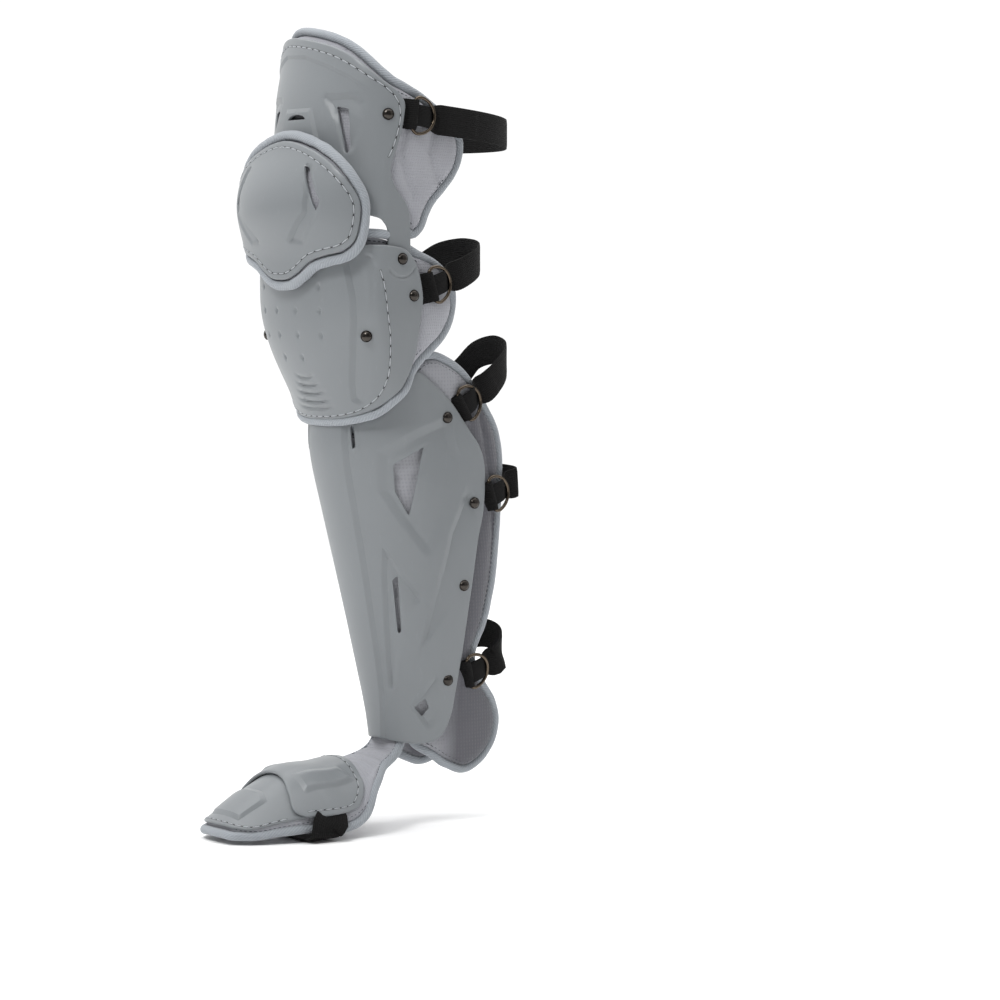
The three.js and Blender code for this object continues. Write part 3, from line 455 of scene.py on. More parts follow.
class Pattern:
    """A flat pattern cut to an outline, with windows and creases, in triangles."""

    def __init__(self, form, loop, windows, spacing, rim=(0, 0.2, 0.75, 1.5), creases=()):
        self.form = FORMS[form]
        loops = [(loop, 1)] + [(hole, -1) for hole in windows]
        verts, edges = [], []

        def add(line, closed):
            first = len(verts)
            verts.extend(Vector(point) for point in line)
            count = len(line) if closed else len(line) - 1
            edges.extend((first + i, first + (i + 1) % len(line)) for i in range(count))

        for edge, side in loops:
            for depth in rim:
                add(offset(edge, side * depth * (1 if side > 0 else 0.5)), True)
        low, high = loop.min(0), loop.max(0)
        rows = np.arange(low[1], high[1], spacing * 0.866)
        grid = np.array([
            (x, z)
            for k, z in enumerate(rows)
            for x in np.arange(low[0] + (k % 2) * spacing / 2, high[0], spacing)
        ])
        keep = inside(grid, loop) & (away(grid, loop, True)[0] > rim[-1] + spacing * 0.5)
        for hole in windows:
            keep &= ~inside(grid, hole) & (away(grid, hole, True)[0] > rim[-1] + spacing * 0.5)
        for crease in creases:
            fine = resample(crease, spacing * 0.8, False)
            clear = inside(fine, loop) & (away(fine, loop, True)[0] > rim[-1] + 0.4)
            for hole in windows:
                clear &= ~inside(fine, hole) & (away(fine, hole, True)[0] > rim[-1] + 0.3)
            fine = fine[clear]
            if len(fine) > 1:
                keep &= away(grid, fine)[0] > spacing * 0.45
                verts.extend(Vector(point) for point in fine)
        verts.extend(Vector(point) for point in grid[keep])
        found = geometry.delaunay_2d_cdt(verts, edges, [], 0, 1e-4)
        points = np.array([(point.x, point.y) for point in found[0]])
        faces = np.array(found[2])
        centre = points[faces].mean(1)
        solid = inside(centre, loop)
        for hole in windows:
            solid &= ~inside(centre, hole)
        faces = faces[solid]
        used = np.unique(faces)
        place = np.full(len(points), -1)
        place[used] = np.arange(len(used))
        self.points, self.faces = points[used], place[faces]
        self.edge = np.min([away(self.points, edge, True)[0] for edge, _ in loops], 0)
        self.outer = away(self.points, loop, True)[0]
        self.hole = np.min([away(self.points, hole, True)[0] for hole in windows] or [self.outer + 99], 0)

    def closed(self, name, front, back):
        """A closed piece whose front and back meet at the cut edge."""
        count = len(self.points)
        met = self.edge < 2e-3
        under = np.where(met, np.arange(count), count + np.cumsum(~met) - 1)
        top = self.form.wrap(self.points, front)
        bottom = self.form.wrap(self.points, back)[~met]
        verts = np.vstack([top, bottom])
        faces = np.vstack([self.faces, under[self.faces][:, ::-1]])
        flat = np.vstack([self.points, self.points[~met]])
        return make_mesh(name, verts, faces, flat)


def rounding(edge, radius):
    inward = radius - np.minimum(edge, radius)
    return radius - np.sqrt(np.maximum(radius * radius - inward * inward, 0))


def make_mesh(name, verts, faces, flat=None):
    mesh = bpy.data.meshes.new(name)
    mesh.from_pydata((np.asarray(verts) * 0.001).tolist(), [], [list(map(int, face)) for face in faces])
    if flat is not None:
        layer = mesh.uv_layers.new(name="cut")
        corner = np.zeros(len(mesh.loops), int)
        mesh.loops.foreach_get("vertex_index", corner)
        layer.data.foreach_set("uv", (np.asarray(flat)[corner] * 0.01).ravel())
    mesh.validate()
    piece = bpy.data.objects.new(name, mesh)
    bpy.context.collection.objects.link(piece)
    return piece


def finish_piece(piece, material, nodes=(), angle=40, body=None):
    piece.data.materials.clear()
    piece.data.materials.append(material)
    for polygon in piece.data.polygons:
        polygon.use_smooth = True
    for other in bpy.context.selected_objects:
        other.select_set(False)
    bpy.context.view_layer.objects.active = piece
    piece.select_set(True)
    if angle:
        bpy.ops.object.shade_smooth_by_angle(angle=math.radians(angle))
    piece.select_set(False)
    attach(piece, body or ("thigh_part" if piece.name.startswith("thigh_") else "shin_part"))
    if nodes:
        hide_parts(*nodes)
    return piece


# Relief: each returns the lift that it adds at the points.
def plateau(points, loop, height, slope):
    side = np.where(inside(points, loop), 1, -1)
    return height * ease(0.5 + side * away(points, loop, True)[0] / slope)


def groove(points, line, depth, width, fade=0.12):
    gap, share = away(points, line)
    taper = ease(share / fade) * ease((1 - share) / fade)
    return -depth * taper * (1 - ease(gap / width))


def facet(points, crease, far, depth, width, reach, rise):
    """A sunk face: it drops across a bevel beside its crease, then runs out towards its far side."""
    passed = away(points, crease)[0]
    beyond = away(points, np.vstack([crease[-1:], far, crease[:1]]))[0]
    drop = np.clip(passed / width, 0, 1) * (1 - np.clip((passed - width) / reach, 0, 1)) ** 1.4
    return -depth * drop * np.clip(beyond / rise, 0, 1) * inside(points, np.vstack([crease, far]))


def panel(points, loop, height, width):
    """A raised face with a straight bevel inside its outline."""
    return height * np.clip(away(points, loop, True)[0] / width, 0, 1) * inside(points, loop)


def both(points, relief, line, *rest):
    """The same relief on the wearer's left and right."""
    return relief(points, line, *rest) + relief(points, mirrored(line), *rest)


def beside(line, distance):
    """A line run alongside another, mitred at its corners."""
    steps = np.diff(line, axis=0)
    steps /= np.linalg.norm(steps, axis=1, keepdims=True)
    normals = np.stack([-steps[:, 1], steps[:, 0]], 1)
    corners = np.vstack([2 * normals[:1], normals[:-1] + normals[1:], 2 * normals[-1:]])
    return line + distance * corners * 2 / np.maximum(np.sum(corners**2, axis=1, keepdims=True), 0.8)


def sunk_faces(form, points):
    lift = np.zeros(len(points))
    for crease, far, *rest in FACETS[form]:
        crease, far = FORMS[form].line(crease), FORMS[form].line(far)
        lift = np.minimum(lift, facet(points, crease, far, *rest))
        lift = np.minimum(lift, facet(points, mirrored(crease), mirrored(far), *rest))
    return lift


def facet_lines(form):
    """The creases and the feet of their bevels, which the pattern's triangles follow."""
    found = []
    for crease, far, _, width, *_ in FACETS[form]:
        flat = FORMS[form].line(crease)
        loop = np.vstack([flat, FORMS[form].line(far)])
        for side in (1, -1):
            foot = resample(beside(flat, side * width), 1.5, False)
            foot = foot[inside(foot, loop)]
            if len(foot) > 2:
                found += [foot, mirrored(foot)]
        found += [flat, mirrored(flat)]
    return found


# Sunk faces: crease, far side, depth, bevel width, reach and rise at the far side.
FACETS = {
    "thigh": [
        ([(44, 391), (18, 391), (32, 366), (40, 342)], [(48, 345), (56, 366), (54, 384)], 2.4, 5.5, 22, 5),
    ],
    "cap": [
        (
            [(26, 337), (33, 311), (32, 297), (12, 273)], [(26, 271), (42, 292), (47, 304), (34, 333)],
            2.4, 3.2, 22, 3,
        ),
    ],
    "knee": [
        (
            [(45, 268), (46, 254), (51, 229), (51, 211), (46, 185), (39, 161), (37, 147), (47, 142)],
            [(62, 158), (75, 185), (78, 215), (76, 240), (66, 267)], 2.3, 4.5, 26, 8,
        ),
        (
            [(63, 266), (73, 263), (79, 254), (77, 238), (74, 222), (55, 181)], [(50, 200), (54, 240)],
            0.9, 2, 12, 5,
        ),
    ],
    "shin": [
        (
            [(116, 135), (83, 125), (48, 107), (43, 74), (57, 46), (76, 17)], [(100, 50), (124, 100)],
            2.4, 7.5, 60, 8,
        ),
        ([(127, 82), (99, 41), (76, -14), (66, -50)], [(100, -14), (142, 40)], 2.3, 5.5, 26, 8),
        ([(88, 16), (70, -33), (49, -90)], [(67, -54), (102, -16)], 2.2, 5, 20, 3),
        (
            [(26, -90), (29, -50), (34, 5), (39, 32), (51, 9), (69, -13)], [(56, -26), (44, -60), (33, -90)],
            2.3, 4, 22, 5,
        ),
        ([(81, -72), (49, -103), (68, -124)], [(88, -112), (94, -92)], 2.2, 5, 24, 6),
    ],
}


# Shader maths
class Socket:
    """A shader value that adds its own Math nodes."""

    def __init__(self, nodes, link):
        self.nodes, self.link = nodes, link

    def math(self, operation, other=None, swap=False, clamp=False):
        values = [self, other] if other is not None else [self]
        if swap:
            values.reverse()
        return self.nodes.add("ShaderNodeMath", {"operation": operation, "use_clamp": clamp}, values)

    def __add__(self, other):
        return self.math("ADD", other)

    def __sub__(self, other):
        return self.math("SUBTRACT", other)

    def __mul__(self, other):
        return self.math("MULTIPLY", other)

    __radd__, __rmul__ = __add__, __mul__

    def __rsub__(self, other):
        return self.math("SUBTRACT", other, swap=True)

    def power(self, other):
        return self.math("POWER", other)

    def clamp(self):
        return self.math("ADD", 0.0, clamp=True)


class Finish:
    """A material and the one way its nodes are added."""

    def __init__(self, name):
        self.material = bpy.data.materials.new(name)
        self.material.use_nodes = True
        self.tree = self.material.node_tree
        self.shader = self.tree.nodes["Principled BSDF"]

    def add(self, kind, settings=None, values=(), output=0):
        node = self.tree.nodes.new(kind)
        for key, value in (settings or {}).items():
            setattr(node, key, value)
        pairs = values.items() if isinstance(values, dict) else enumerate(values)
        for key, value in pairs:
            self.feed(node.inputs[key], value)
        return Socket(self, node.outputs[output])

    def feed(self, socket, value):
        if isinstance(value, Socket):
            self.tree.links.new(value.link, socket)
        else:
            socket.default_value = value

    def set(self, **values):
        for key, value in values.items():
            self.feed(self.shader.inputs[key.replace("_", " ")], value)
        return self.material

    def place(self, scale=(1, 1, 1), own=False):
        where = self.add("ShaderNodeTexCoord", output="UV" if own else "Object")
        return self.add("ShaderNodeMapping", {}, {"Vector": where, "Scale": scale})

    def noise(self, vector, scale, detail=3.0, rough=0.5):
        values = {"Vector": vector, "Scale": scale, "Detail": detail, "Roughness": rough}
        return self.add("ShaderNodeTexNoise", {}, values)

    def bands(self, direction, values):
        settings = {"wave_type": "BANDS", "bands_direction": direction, "wave_profile": "SIN"}
        return self.add("ShaderNodeTexWave", settings, values)

    def mix(self, share, first, second):
        node = self.tree.nodes.new("ShaderNodeMix")
        node.data_type = "RGBA"
        for key, kind, value in (("Factor", "VALUE", share), ("A", "RGBA", first), ("B", "RGBA", second)):
            self.feed(next(s for s in node.inputs if s.name == key and s.type == kind), value)
        return Socket(self, next(s for s in node.outputs if s.type == "RGBA"))

    def bump(self, height, distance, strength):
        values = {"Strength": strength, "Distance": distance, "Height": height}
        return self.add("ShaderNodeBump", {}, values)


def grey(red, green, blue):
    """A colour given as it is seen on screen."""
    shown = (level / 255 for level in (red, green, blue))
    return tuple(((c + 0.055) / 1.055) ** 2.4 if c > 0.04 else c / 12.92 for c in shown) + (1.0,)


def moulded_plastic():
    finish = Finish("moulded_plastic")
    where = finish.place()
    cloud = finish.noise(where, 9.0, 2.0)
    speck = finish.noise(where, 900.0, 2.0)
    scuff = finish.noise(finish.place(scale=(1, 1, 0.3)), 160.0, 5.0, 0.7)
    worn = ((scuff - 0.62) * 6.0).clamp()
    colour = finish.mix(cloud, grey(122, 126, 129), grey(131, 135, 138))
    colour = finish.mix(worn * 0.18, colour, grey(164, 168, 171))
    rough = 0.33 + (cloud - 0.5) * 0.14 + worn * 0.12 + (speck - 0.5) * 0.06
    peel = finish.noise(where, 260.0, 2.0) * 0.85 + speck * 0.15
    return finish.set(
        Base_Color=colour, Roughness=rough, Specular_IOR_Level=0.34,
        Normal=finish.bump(peel, 0.0002, 0.2),
    )


def pad_mesh(name, dark, light, wing=None, cell=2.3):
    finish = Finish(name)
    own = finish.place(own=True)
    cells = finish.add(
        "ShaderNodeTexVoronoi",
        {"feature": "F1", "voronoi_dimensions": "2D"},
        {"Vector": own, "Scale": 100.0 / cell, "Randomness": 0.12},
    )
    painted_shade = (1.0 - cells * 1.6).clamp()
    grain = finish.noise(own, 320.0, 3.0)
    soft = finish.noise(finish.place(), 26.0, 3.0)
    weave = painted_shade.power(2.0)
    colour = finish.mix(soft, dark, light)
    # Past y = 45 mm towards the back the pad is mixed to the wing colour: painted shade on the same cloth.
    if wing:
        where = finish.add("ShaderNodeSeparateXYZ", {}, [finish.place()], output="Y")
        colour = finish.mix(((where - 0.045) * 50.0).clamp(), colour, wing)
    colour = finish.mix(weave * 0.32, colour, tuple(c * 0.55 for c in dark[:3]) + (1.0,))
    height = grain * 0.25 - weave * 0.8
    return finish.set(
        Base_Color=colour, Roughness=0.88 + (grain - 0.5) * 0.12, Sheen_Weight=0.25, Sheen_Roughness=0.5,
        Normal=finish.bump(height, 0.0005, 0.7),
    )


def twill_tape():
    finish = Finish("twill_tape")
    own = finish.place(own=True)
    twill = {"Vector": own, "Scale": 22.0, "Distortion": 0.5, "Detail": 1.0, "Detail Scale": 3.0}
    lines = finish.bands("DIAGONAL", twill)
    grain = finish.noise(own, 240.0, 3.0)
    soft = finish.noise(finish.place(), 40.0, 3.0)
    colour = finish.mix(soft, grey(150, 155, 161), grey(164, 169, 174))
    colour = finish.mix((1.0 - lines) * 0.4, colour, grey(122, 128, 136))
    return finish.set(
        Base_Color=colour, Roughness=0.82 + (grain - 0.5) * 0.15, Sheen_Weight=0.2, Sheen_Roughness=0.5,
        Normal=finish.bump(lines * 0.7 + grain * 0.3, 0.0005, 0.8),
    )


def elastic_webbing():
    finish = Finish("elastic_webbing")
    own = finish.place(own=True)
    ribs = finish.bands("Y", {"Vector": own, "Scale": 17.0, "Distortion": 0.0})
    picks = finish.bands("X", {"Vector": own, "Scale": 28.0, "Distortion": 0.4, "Detail": 1.0})
    grain = finish.noise(own, 200.0, 3.0)
    colour = finish.mix(ribs * 0.5 + grain * 0.4, grey(4, 4, 4), grey(22, 21, 21))
    return finish.set(
        Base_Color=colour, Roughness=0.82 + (grain - 0.5) * 0.2, Specular_IOR_Level=0.2,
        Normal=finish.bump(ribs * 0.6 + picks * 0.3 + grain * 0.2, 0.0005, 0.8),
    )


def metal(name, dark, light, rough):
    finish = Finish(name)
    where = finish.place()
    cloud = finish.noise(where, 70.0, 3.0)
    scratch = finish.noise(finish.place(scale=(1, 1, 6)), 400.0, 4.0, 0.7)
    colour = finish.mix(cloud, dark, light)
    return finish.set(
        Base_Color=colour, Metallic=1.0, Roughness=rough + (scratch - 0.5) * 0.16,
        Normal=finish.bump(scratch, 0.00006, 0.4),
    )


def thread(name, colour, dark):
    finish = Finish(name)
    where = finish.place()
    twist = finish.noise(where, 900.0, 2.0)
    return finish.set(
        Base_Color=finish.mix(twist, dark, colour), Roughness=0.55 + (twist - 0.5) * 0.2,
        Normal=finish.bump(twist, 0.0002, 0.6),
    )


PLASTIC = moulded_plastic()
PAD = pad_mesh("pad_mesh", grey(152, 153, 160), grey(167, 168, 174))
# The third colour is painted shade for the pad's back wings and heel flap; the cloth is the same.
SHADED_WING_PAD = pad_mesh("wing_mesh_painted_shade", grey(144, 145, 151), grey(158, 159, 164), grey(88, 88, 94), 3.0)
TWILL = twill_tape()
ELASTIC = elastic_webbing()
GUNMETAL = metal("gunmetal", grey(48, 45, 43), grey(82, 78, 74), 0.24)
RING_METAL = metal("blackened_bronze", grey(70, 62, 54), grey(104, 94, 82), 0.22)
THREAD = thread("light_thread", grey(182, 186, 190), grey(146, 150, 155))
DARK_THREAD = thread("dark_thread", grey(70, 74, 82), grey(40, 42, 48))
# Near-black painted shade for the needle holes and painted shadow under the stitches.
STITCH_SHADE = thread("painted_stitch_shade", grey(52, 53, 55), grey(30, 30, 32))

# Shells
LOOPS = {
    "thigh_plate": outline("thigh", THIGH_PLATE_EDGE, THIGH_TILT),
    "thigh_pad": outline("thigh", THIGH_PAD_EDGE, THIGH_TILT),
    "kneecap": outline("cap", CAP_EDGE),
    "knee_plate": outline("knee", KNEE_PLATE_EDGE),
    "knee_pad": outline("knee", KNEE_PAD_EDGE),
    "shin_plate": outline("shin", SHIN_PLATE_EDGE),
    "shin_pad": outline("shin", SHIN_PAD_EDGE),
    "foot_pad": outline("foot", FOOT_PAD_EDGE),
    "instep_plate": outline("foot", INSTEP_EDGE),
    "toe_plate": outline("foot", TOE_EDGE),
}


THIGH_PANEL = [(-24, 340), (-13, 380), (13, 380), (24, 340)]
THIGH_BAND = [
    (-78, 384), (-62, 402), (-45, 415), (-25, 423), (0, 421), (18, 414), (38, 404), (66, 387),
    (92, 400), (60, 450), (-60, 450), (-92, 400),
]
DIMPLES = (-35, -16, 5, 26)
DIMPLE_ROWS = ((219, DIMPLES), (199.5, DIMPLES), (181.5, DIMPLES[1:3]), (238, DIMPLES[::3]))
# The ribs low on the knee: height, half the turn they cross and depth.
KNEE_RIBS = ((165, 12, 1.5), (158.5, 15, 1.8), (152, 19, 1.9), (145.5, 23, 1.9), (140, 25, 1.5))
SHIN_SIDE = [
    (24, 134), (25, 108), (24.5, 89), (22.5, 38), (21.5, -14), (21.5, -50), (21, -78), (19, -106),
    (14, -137),
]
SHIN_PANEL = SHIN_SIDE + [(-turn, z) for turn, z in reversed(SHIN_SIDE)]
SLOT_LIP = [(26, 128), (33, 128), (34, 108), (29, 104)]
WINDOW_FLOOR = [(95, 113), (58, 99), (54, 73), (65, 48), (72, 50)]
INSTEP_PANEL = [(30, -82), (34, -42), (62, -34), (62, -86)]
TOE_PANEL = [(-50, -134), (-47, -110), (-24, -105), (24, -105), (47, -110), (50, -134)]


def thigh_relief(points):
    form = FORMS["thigh"]
    lift = sunk_faces("thigh", points) + panel(points, form.line(THIGH_PANEL), 2.0, 3.5)
    return lift + plateau(points, form.line(THIGH_BAND), 1.5, 3.0) * ease((80 - np.abs(points[:, 0])) / 25)


def cap_relief(points):
    return sunk_faces("cap", points)


def knee_relief(points):
    form = FORMS["knee"]
    lift = sunk_faces("knee", points)
    hinge = np.array([form.spot("y", PIVOT[1], PIVOT[2])])
    arc = hinge + 15 * np.array([(math.cos(a), math.sin(a)) for a in np.linspace(-2.7, -0.3, 12)])
    lift += both(points, groove, arc, 1.2, 2.0)
    for z, reach, depth in KNEE_RIBS:
        rib = form.line([(turn * reach, z + 4 * turn * turn) for turn in np.linspace(-1, 1, 9)])
        lift += groove(points, rib, depth, 2.2, 0.3)
    for row, columns in DIMPLE_ROWS:
        for turn in columns:
            centre = form.line([(turn, row)])[0]
            lift += dimple(points, centre, 1 if turn > 0 else -1)
    return lift


def dimple(points, centre, side):
    """A small moulded dent, steep towards the middle of the guard and running out to the side."""
    gap = points - centre
    across = gap[:, 0] * side
    reach = np.hypot(gap[:, 0], gap[:, 1])
    return -1.8 * (1 - ease(reach / 3.8)) * ease((2.4 - across) / 2.6)


def shin_relief(points):
    form = FORMS["shin"]
    lift = panel(points, form.line(SHIN_PANEL), 2.4, 4.5) + sunk_faces("shin", points)
    lift += both(points, plateau, form.line(SLOT_LIP), 0.7, 1.6)
    return lift - both(points, plateau, form.line(WINDOW_FLOOR), 0.5, 1.4)


def instep_relief(points):
    form = FORMS["foot"]
    arch = 3.4 * (1 - ease((points[:, 1] - form.along(-76)) / (form.along(-46) - form.along(-76))))
    return GAP + SHELL + arch + both(points, panel, form.line(INSTEP_PANEL), 1.9, 4)


def toe_relief(points):
    return GAP + SHELL - 0.4 + panel(points, FORMS["foot"].line(TOE_PANEL), 2.0, 4)


def moulded_shell(name, form, loop, windows, relief, creases, spacing=1.7):
    pattern = Pattern(form, loop, windows, spacing, creases=creases)
    lift = np.maximum(relief(pattern.points), -DEEPEST)
    curl = np.maximum(rounding(pattern.outer, EDGE_ROUND), rounding(pattern.hole, WINDOW_ROUND))
    back = lift if form == "foot" else np.maximum(lift, 0)
    piece = pattern.closed(name + "_shell", lift - curl, back - SHELL + curl)
    return finish_piece(piece, PLASTIC, [name], SHARP)


def edges_of(form, loop, *widths):
    """A panel's outline and the feet of its bevel."""
    flat = FORMS[form].line(loop)
    closed = np.vstack([flat, flat[:1]])
    lines = [closed]
    for width in widths:
        for side in (1, -1):
            foot = resample(beside(closed, side * abs(width)), 1.5, False)
            within = inside(foot, flat)
            foot = foot[within if width > 0 else ~within]
            if len(foot) > 2:
                lines.append(foot)
    return lines


cap_windows = [window("cap", CAP_SLOT), window("cap", CAP_SLOT, -1)]
thigh_windows = [window("thigh", THIGH_SLOT), window("thigh", THIGH_SLOT, -1), window("thigh", THIGH_MOON)]
moulded_shell(
    "thigh_plate", "thigh", LOOPS["thigh_plate"], thigh_windows, thigh_relief,
    facet_lines("thigh") + edges_of("thigh", THIGH_PANEL, 3.5) + edges_of("thigh", THIGH_BAND, 1.5, -1.5),
)
moulded_shell(
    "kneecap_plate", "cap", offset(LOOPS["kneecap"], CAP_ROLL + GAP), cap_windows, cap_relief,
    facet_lines("cap"),
)
moulded_shell("knee_plate", "knee", LOOPS["knee_plate"], [], knee_relief, facet_lines("knee"), 1.5)
shin_windows = [
    window("shin", rows, side)
    for rows in (SHIN_SLOT, SHIN_WINDOW, SHIN_SLIT, ANKLE_WINDOW)
    for side in (1, -1)
]
moulded_shell(
    "shin_plate", "shin", LOOPS["shin_plate"], shin_windows, shin_relief,
    facet_lines("shin") + edges_of("shin", SHIN_PANEL, 4.5),
)
instep_edges = edges_of("foot", INSTEP_PANEL, 4)
moulded_shell(
    "instep_plate", "foot", LOOPS["instep_plate"], [], instep_relief,
    instep_edges + [mirrored(line) for line in instep_edges], 1.5,
)
moulded_shell("toe_plate", "foot", LOOPS["toe_plate"], [], toe_relief, edges_of("foot", TOE_PANEL, 4), 1.5)


# Pads
PAD_SPACING = 4.2
PAD_RIM = (0, 0.5, 1.6, 3.2)


def swell(piece, pinned, most):
    """The pad is blown up as cloth with its seams held, and only so far as it may stand proud."""
    scene = bpy.context.scene
    group = piece.vertex_groups.new(name="held")
    group.add([int(i) for i in np.nonzero(pinned)[0]], 1.0, "REPLACE")
    cloth = piece.modifiers.new("cloth", "CLOTH")
    settings = cloth.settings
    settings.use_pressure = True
    settings.uniform_pressure_force = 4.0
    settings.effector_weights.gravity = 0.0
    settings.vertex_group_mass = "held"
    settings.tension_stiffness = settings.compression_stiffness = 12.0
    settings.bending_stiffness = 2.0
    settings.quality = 4
    cloth.collision_settings.use_collision = False
    cloth.point_cache.frame_start, cloth.point_cache.frame_end = 1, 20
    for number in range(1, 21):
        scene.frame_set(number)
    shown = piece.evaluated_get(bpy.context.evaluated_depsgraph_get()).to_mesh()
    count = len(piece.data.vertices)
    blown = np.zeros(count * 3)
    shown.vertices.foreach_get("co", blown)
    start = np.zeros(count * 3)
    piece.data.vertices.foreach_get("co", start)
    piece.modifiers.remove(cloth)
    piece.vertex_groups.remove(group)
    scene.frame_set(1)
    move = (blown - start).reshape(-1, 3) * 1000
    size = np.linalg.norm(move, axis=1)
    move *= (most * np.tanh(size / np.maximum(most, 1e-6)) / np.maximum(size, 1e-9))[:, None]
    piece.data.vertices.foreach_set("co", start + (move * 0.001).ravel())


def past(points, loop):
    """How far each point lies outside a loop, and nothing inside it."""
    return np.where(inside(points, loop), 0, away(points, loop, True)[0])


def padded_layer(name, form, loop, face, back, seams, puff, material, proud, covered=None, openings=()):
    """A pad: its face and back are cut alike, sewn down along the seams and filled."""
    pattern = Pattern(form, loop, (), PAD_SPACING, PAD_RIM, creases=seams)
    points = pattern.points
    sunk = np.zeros(len(points))
    for opening in openings:
        sunk = np.maximum(sunk, 1 - ease(past(points, opening) / 5))
    thick = face(points) - back(points)
    half = np.minimum(thick / 2, 4.5)
    curl = half * rounding(pattern.edge, 4.5) / 4.5
    crown = ease(pattern.edge / 9)
    sewn = np.zeros(len(points))
    for seam in seams:
        gap = away(points, seam)[0]
        crown *= ease(gap / 8)
        sewn += -1.3 * (1 - ease(gap / 2.6))
    if covered is not None:
        crown *= ease(past(points, covered) / 8)
    front = face(points) - curl + puff * crown + sewn - 3.0 * sunk
    under = back(points) + curl - puff * crown - sewn
    middle = (face(points) + back(points)) / 2
    tight = pattern.edge < 2e-3
    front[tight] = under[tight] = middle[tight]
    piece = pattern.closed(name + "_cushion", front, under)
    flat = np.vstack([points, points[~tight]])
    held = np.concatenate([pattern.edge, pattern.edge[~tight]]) < 3.4
    for seam in seams:
        held |= away(flat, seam)[0] < 1.6
    if covered is not None:
        held |= inside(flat, offset(covered, 3)) & (np.arange(len(flat)) < len(points))
    swell(piece, held, np.where(held, 1e-6, proud))
    bpy.context.view_layer.objects.active = piece
    smoother = piece.modifiers.new("fine", "SUBSURF")
    smoother.levels = smoother.render_levels = 1
    smoother.use_limit_surface = False
    bpy.ops.object.modifier_apply(modifier="fine")
    finish_piece(piece, material, [name], 0)


def constant(value):
    return lambda points: np.full(len(points), float(value))


def seam_lines(form, *lines):
    found = []
    for line in lines:
        flat = smooth_line(FORMS[form].line(line), False, 6)
        found += [flat, mirrored(flat)]
    return found


padded_layer(
    "thigh_pad", "thigh", offset(LOOPS["thigh_pad"], ROLL - 0.4), constant(PAD_FACE - 0.7), constant(-13),
    seam_lines(
        "thigh", [(99, 377), (94, 360), (94, 346), (103, 327), (119, 307)],
        [(124, 369), (121, 356), (122, 346), (131, 332), (141, 320)], [(30, 430), (28, 380), (30, 320)],
        [(66, 410), (62, 370), (66, 315)],
    ),
    1.6, PAD, 2.0, covered=LOOPS["thigh_plate"], openings=thigh_windows,
)
padded_layer(
    "kneecap_pad", "cap", offset(LOOPS["kneecap"], CAP_ROLL - 0.3),
    constant(PAD_FACE - 0.35), constant(-12.5), seam_lines("cap", [(30, 345), (34, 300), (30, 255)]),
    0.6, PAD, 1.5, covered=LOOPS["kneecap"], openings=cap_windows,
)


def knee_face(points):
    return PAD_FACE - 0.7 - 3.7 * ease((points[:, 1] - 222) / 14)


def knee_back(points):
    hem = 124 + 52 * np.minimum(np.abs(FORMS["knee"].unflat(points[:, 0])) / 95, 1.4) ** 3
    return PAD_FACE - 4.2 - 8.4 * ease((points[:, 1] - hem - 4) / 26)


padded_layer(
    "knee_pad", "knee", offset(LOOPS["knee_pad"], ROLL - 0.4), knee_face, knee_back,
    seam_lines(
        "knee", [(118, 266), (124, 245), (125, 220), (119, 200), (108, 184)],
        [(35, 272), (38, 200), (30, 150)],
    ),
    1.3, PAD, 1.8, covered=LOOPS["knee_plate"],
)
padded_layer(
    "shin_pad", "shin", offset(LOOPS["shin_pad"], ROLL - 0.4), constant(PAD_FACE), constant(-14),
    seam_lines(
        "shin", [(134, 178), (146, 150), (153, 125), (155, 95), (146, 30), (138, -10), (128, -60)],
        [(0, 88), (60, 86), (110, 84)], [(0, 40), (60, 40), (110, 40)], [(0, -8), (60, -8), (106, -8)],
        [(0, -56), (60, -56), (100, -56)],
    ),
    1.3, SHADED_WING_PAD, 2.2, covered=LOOPS["shin_plate"], openings=shin_windows,
)


padded_layer(
    "foot_pad", "foot", offset(LOOPS["foot_pad"], ROLL - 0.4), constant(-0.7), constant(-8),
    [FORMS["foot"].line([(-70, y), (0, y + 1.5), (70, y)]) for y in (12, 2, -8, -18)], 1.5, PAD, 1.2,
)


# Edge rolls
def patch(start, stop, low, high):
    """The corners of one face on the flat cloth."""
    return [(start, low), (stop, low), (stop, high), (start, high)]


def tube(path, outward, radius, sides=14, closed=True, lumps=0.0):
    """A round section carried along a path, with its own lengthwise and round coordinates."""
    count = len(path)
    ahead = np.roll(path, -1, 0) - np.roll(path, 1, 0)
    if not closed:
        ahead[0], ahead[-1] = path[1] - path[0], path[-1] - path[-2]
    ahead /= np.linalg.norm(ahead, axis=1, keepdims=True)
    out = outward - np.sum(outward * ahead, 1, keepdims=True) * ahead
    out /= np.linalg.norm(out, axis=1, keepdims=True)
    over = np.cross(ahead, out)
    steps = np.linalg.norm(np.diff(np.vstack([path, path[:1]]), axis=0), axis=1)
    far = np.concatenate([[0], np.cumsum(steps)])
    size = np.broadcast_to(np.asarray(radius, float), (count,)).copy()
    if lumps:
        size += lumps * np.array([noise.noise(Vector((d * 0.09, 3.1, 0))) for d in far[:count]])
    angles = np.arange(sides) * 2 * math.pi / sides
    ring = np.cos(angles)[None, :, None] * out[:, None] + np.sin(angles)[None, :, None] * over[:, None]
    verts = (path[:, None] + size[:, None, None] * ring).reshape(-1, 3)
    faces, flat = [], []
    girth = 2 * math.pi * float(np.mean(size))
    for i in range(count if closed else count - 1):
        for j in range(sides):
            a, b = i * sides + j, i * sides + (j + 1) % sides
            c, d = ((i + 1) % count) * sides + (j + 1) % sides, ((i + 1) % count) * sides + j
            faces.append((a, d, c, b))
            flat.append(patch(far[i], far[i + 1], j / sides * girth, (j + 1) / sides * girth))
    if not closed:
        faces += [tuple(range(sides)), tuple(reversed(range((count - 1) * sides, count * sides)))]
        flat += [[(0, 0)] * sides] * 2
    return verts, faces, flat


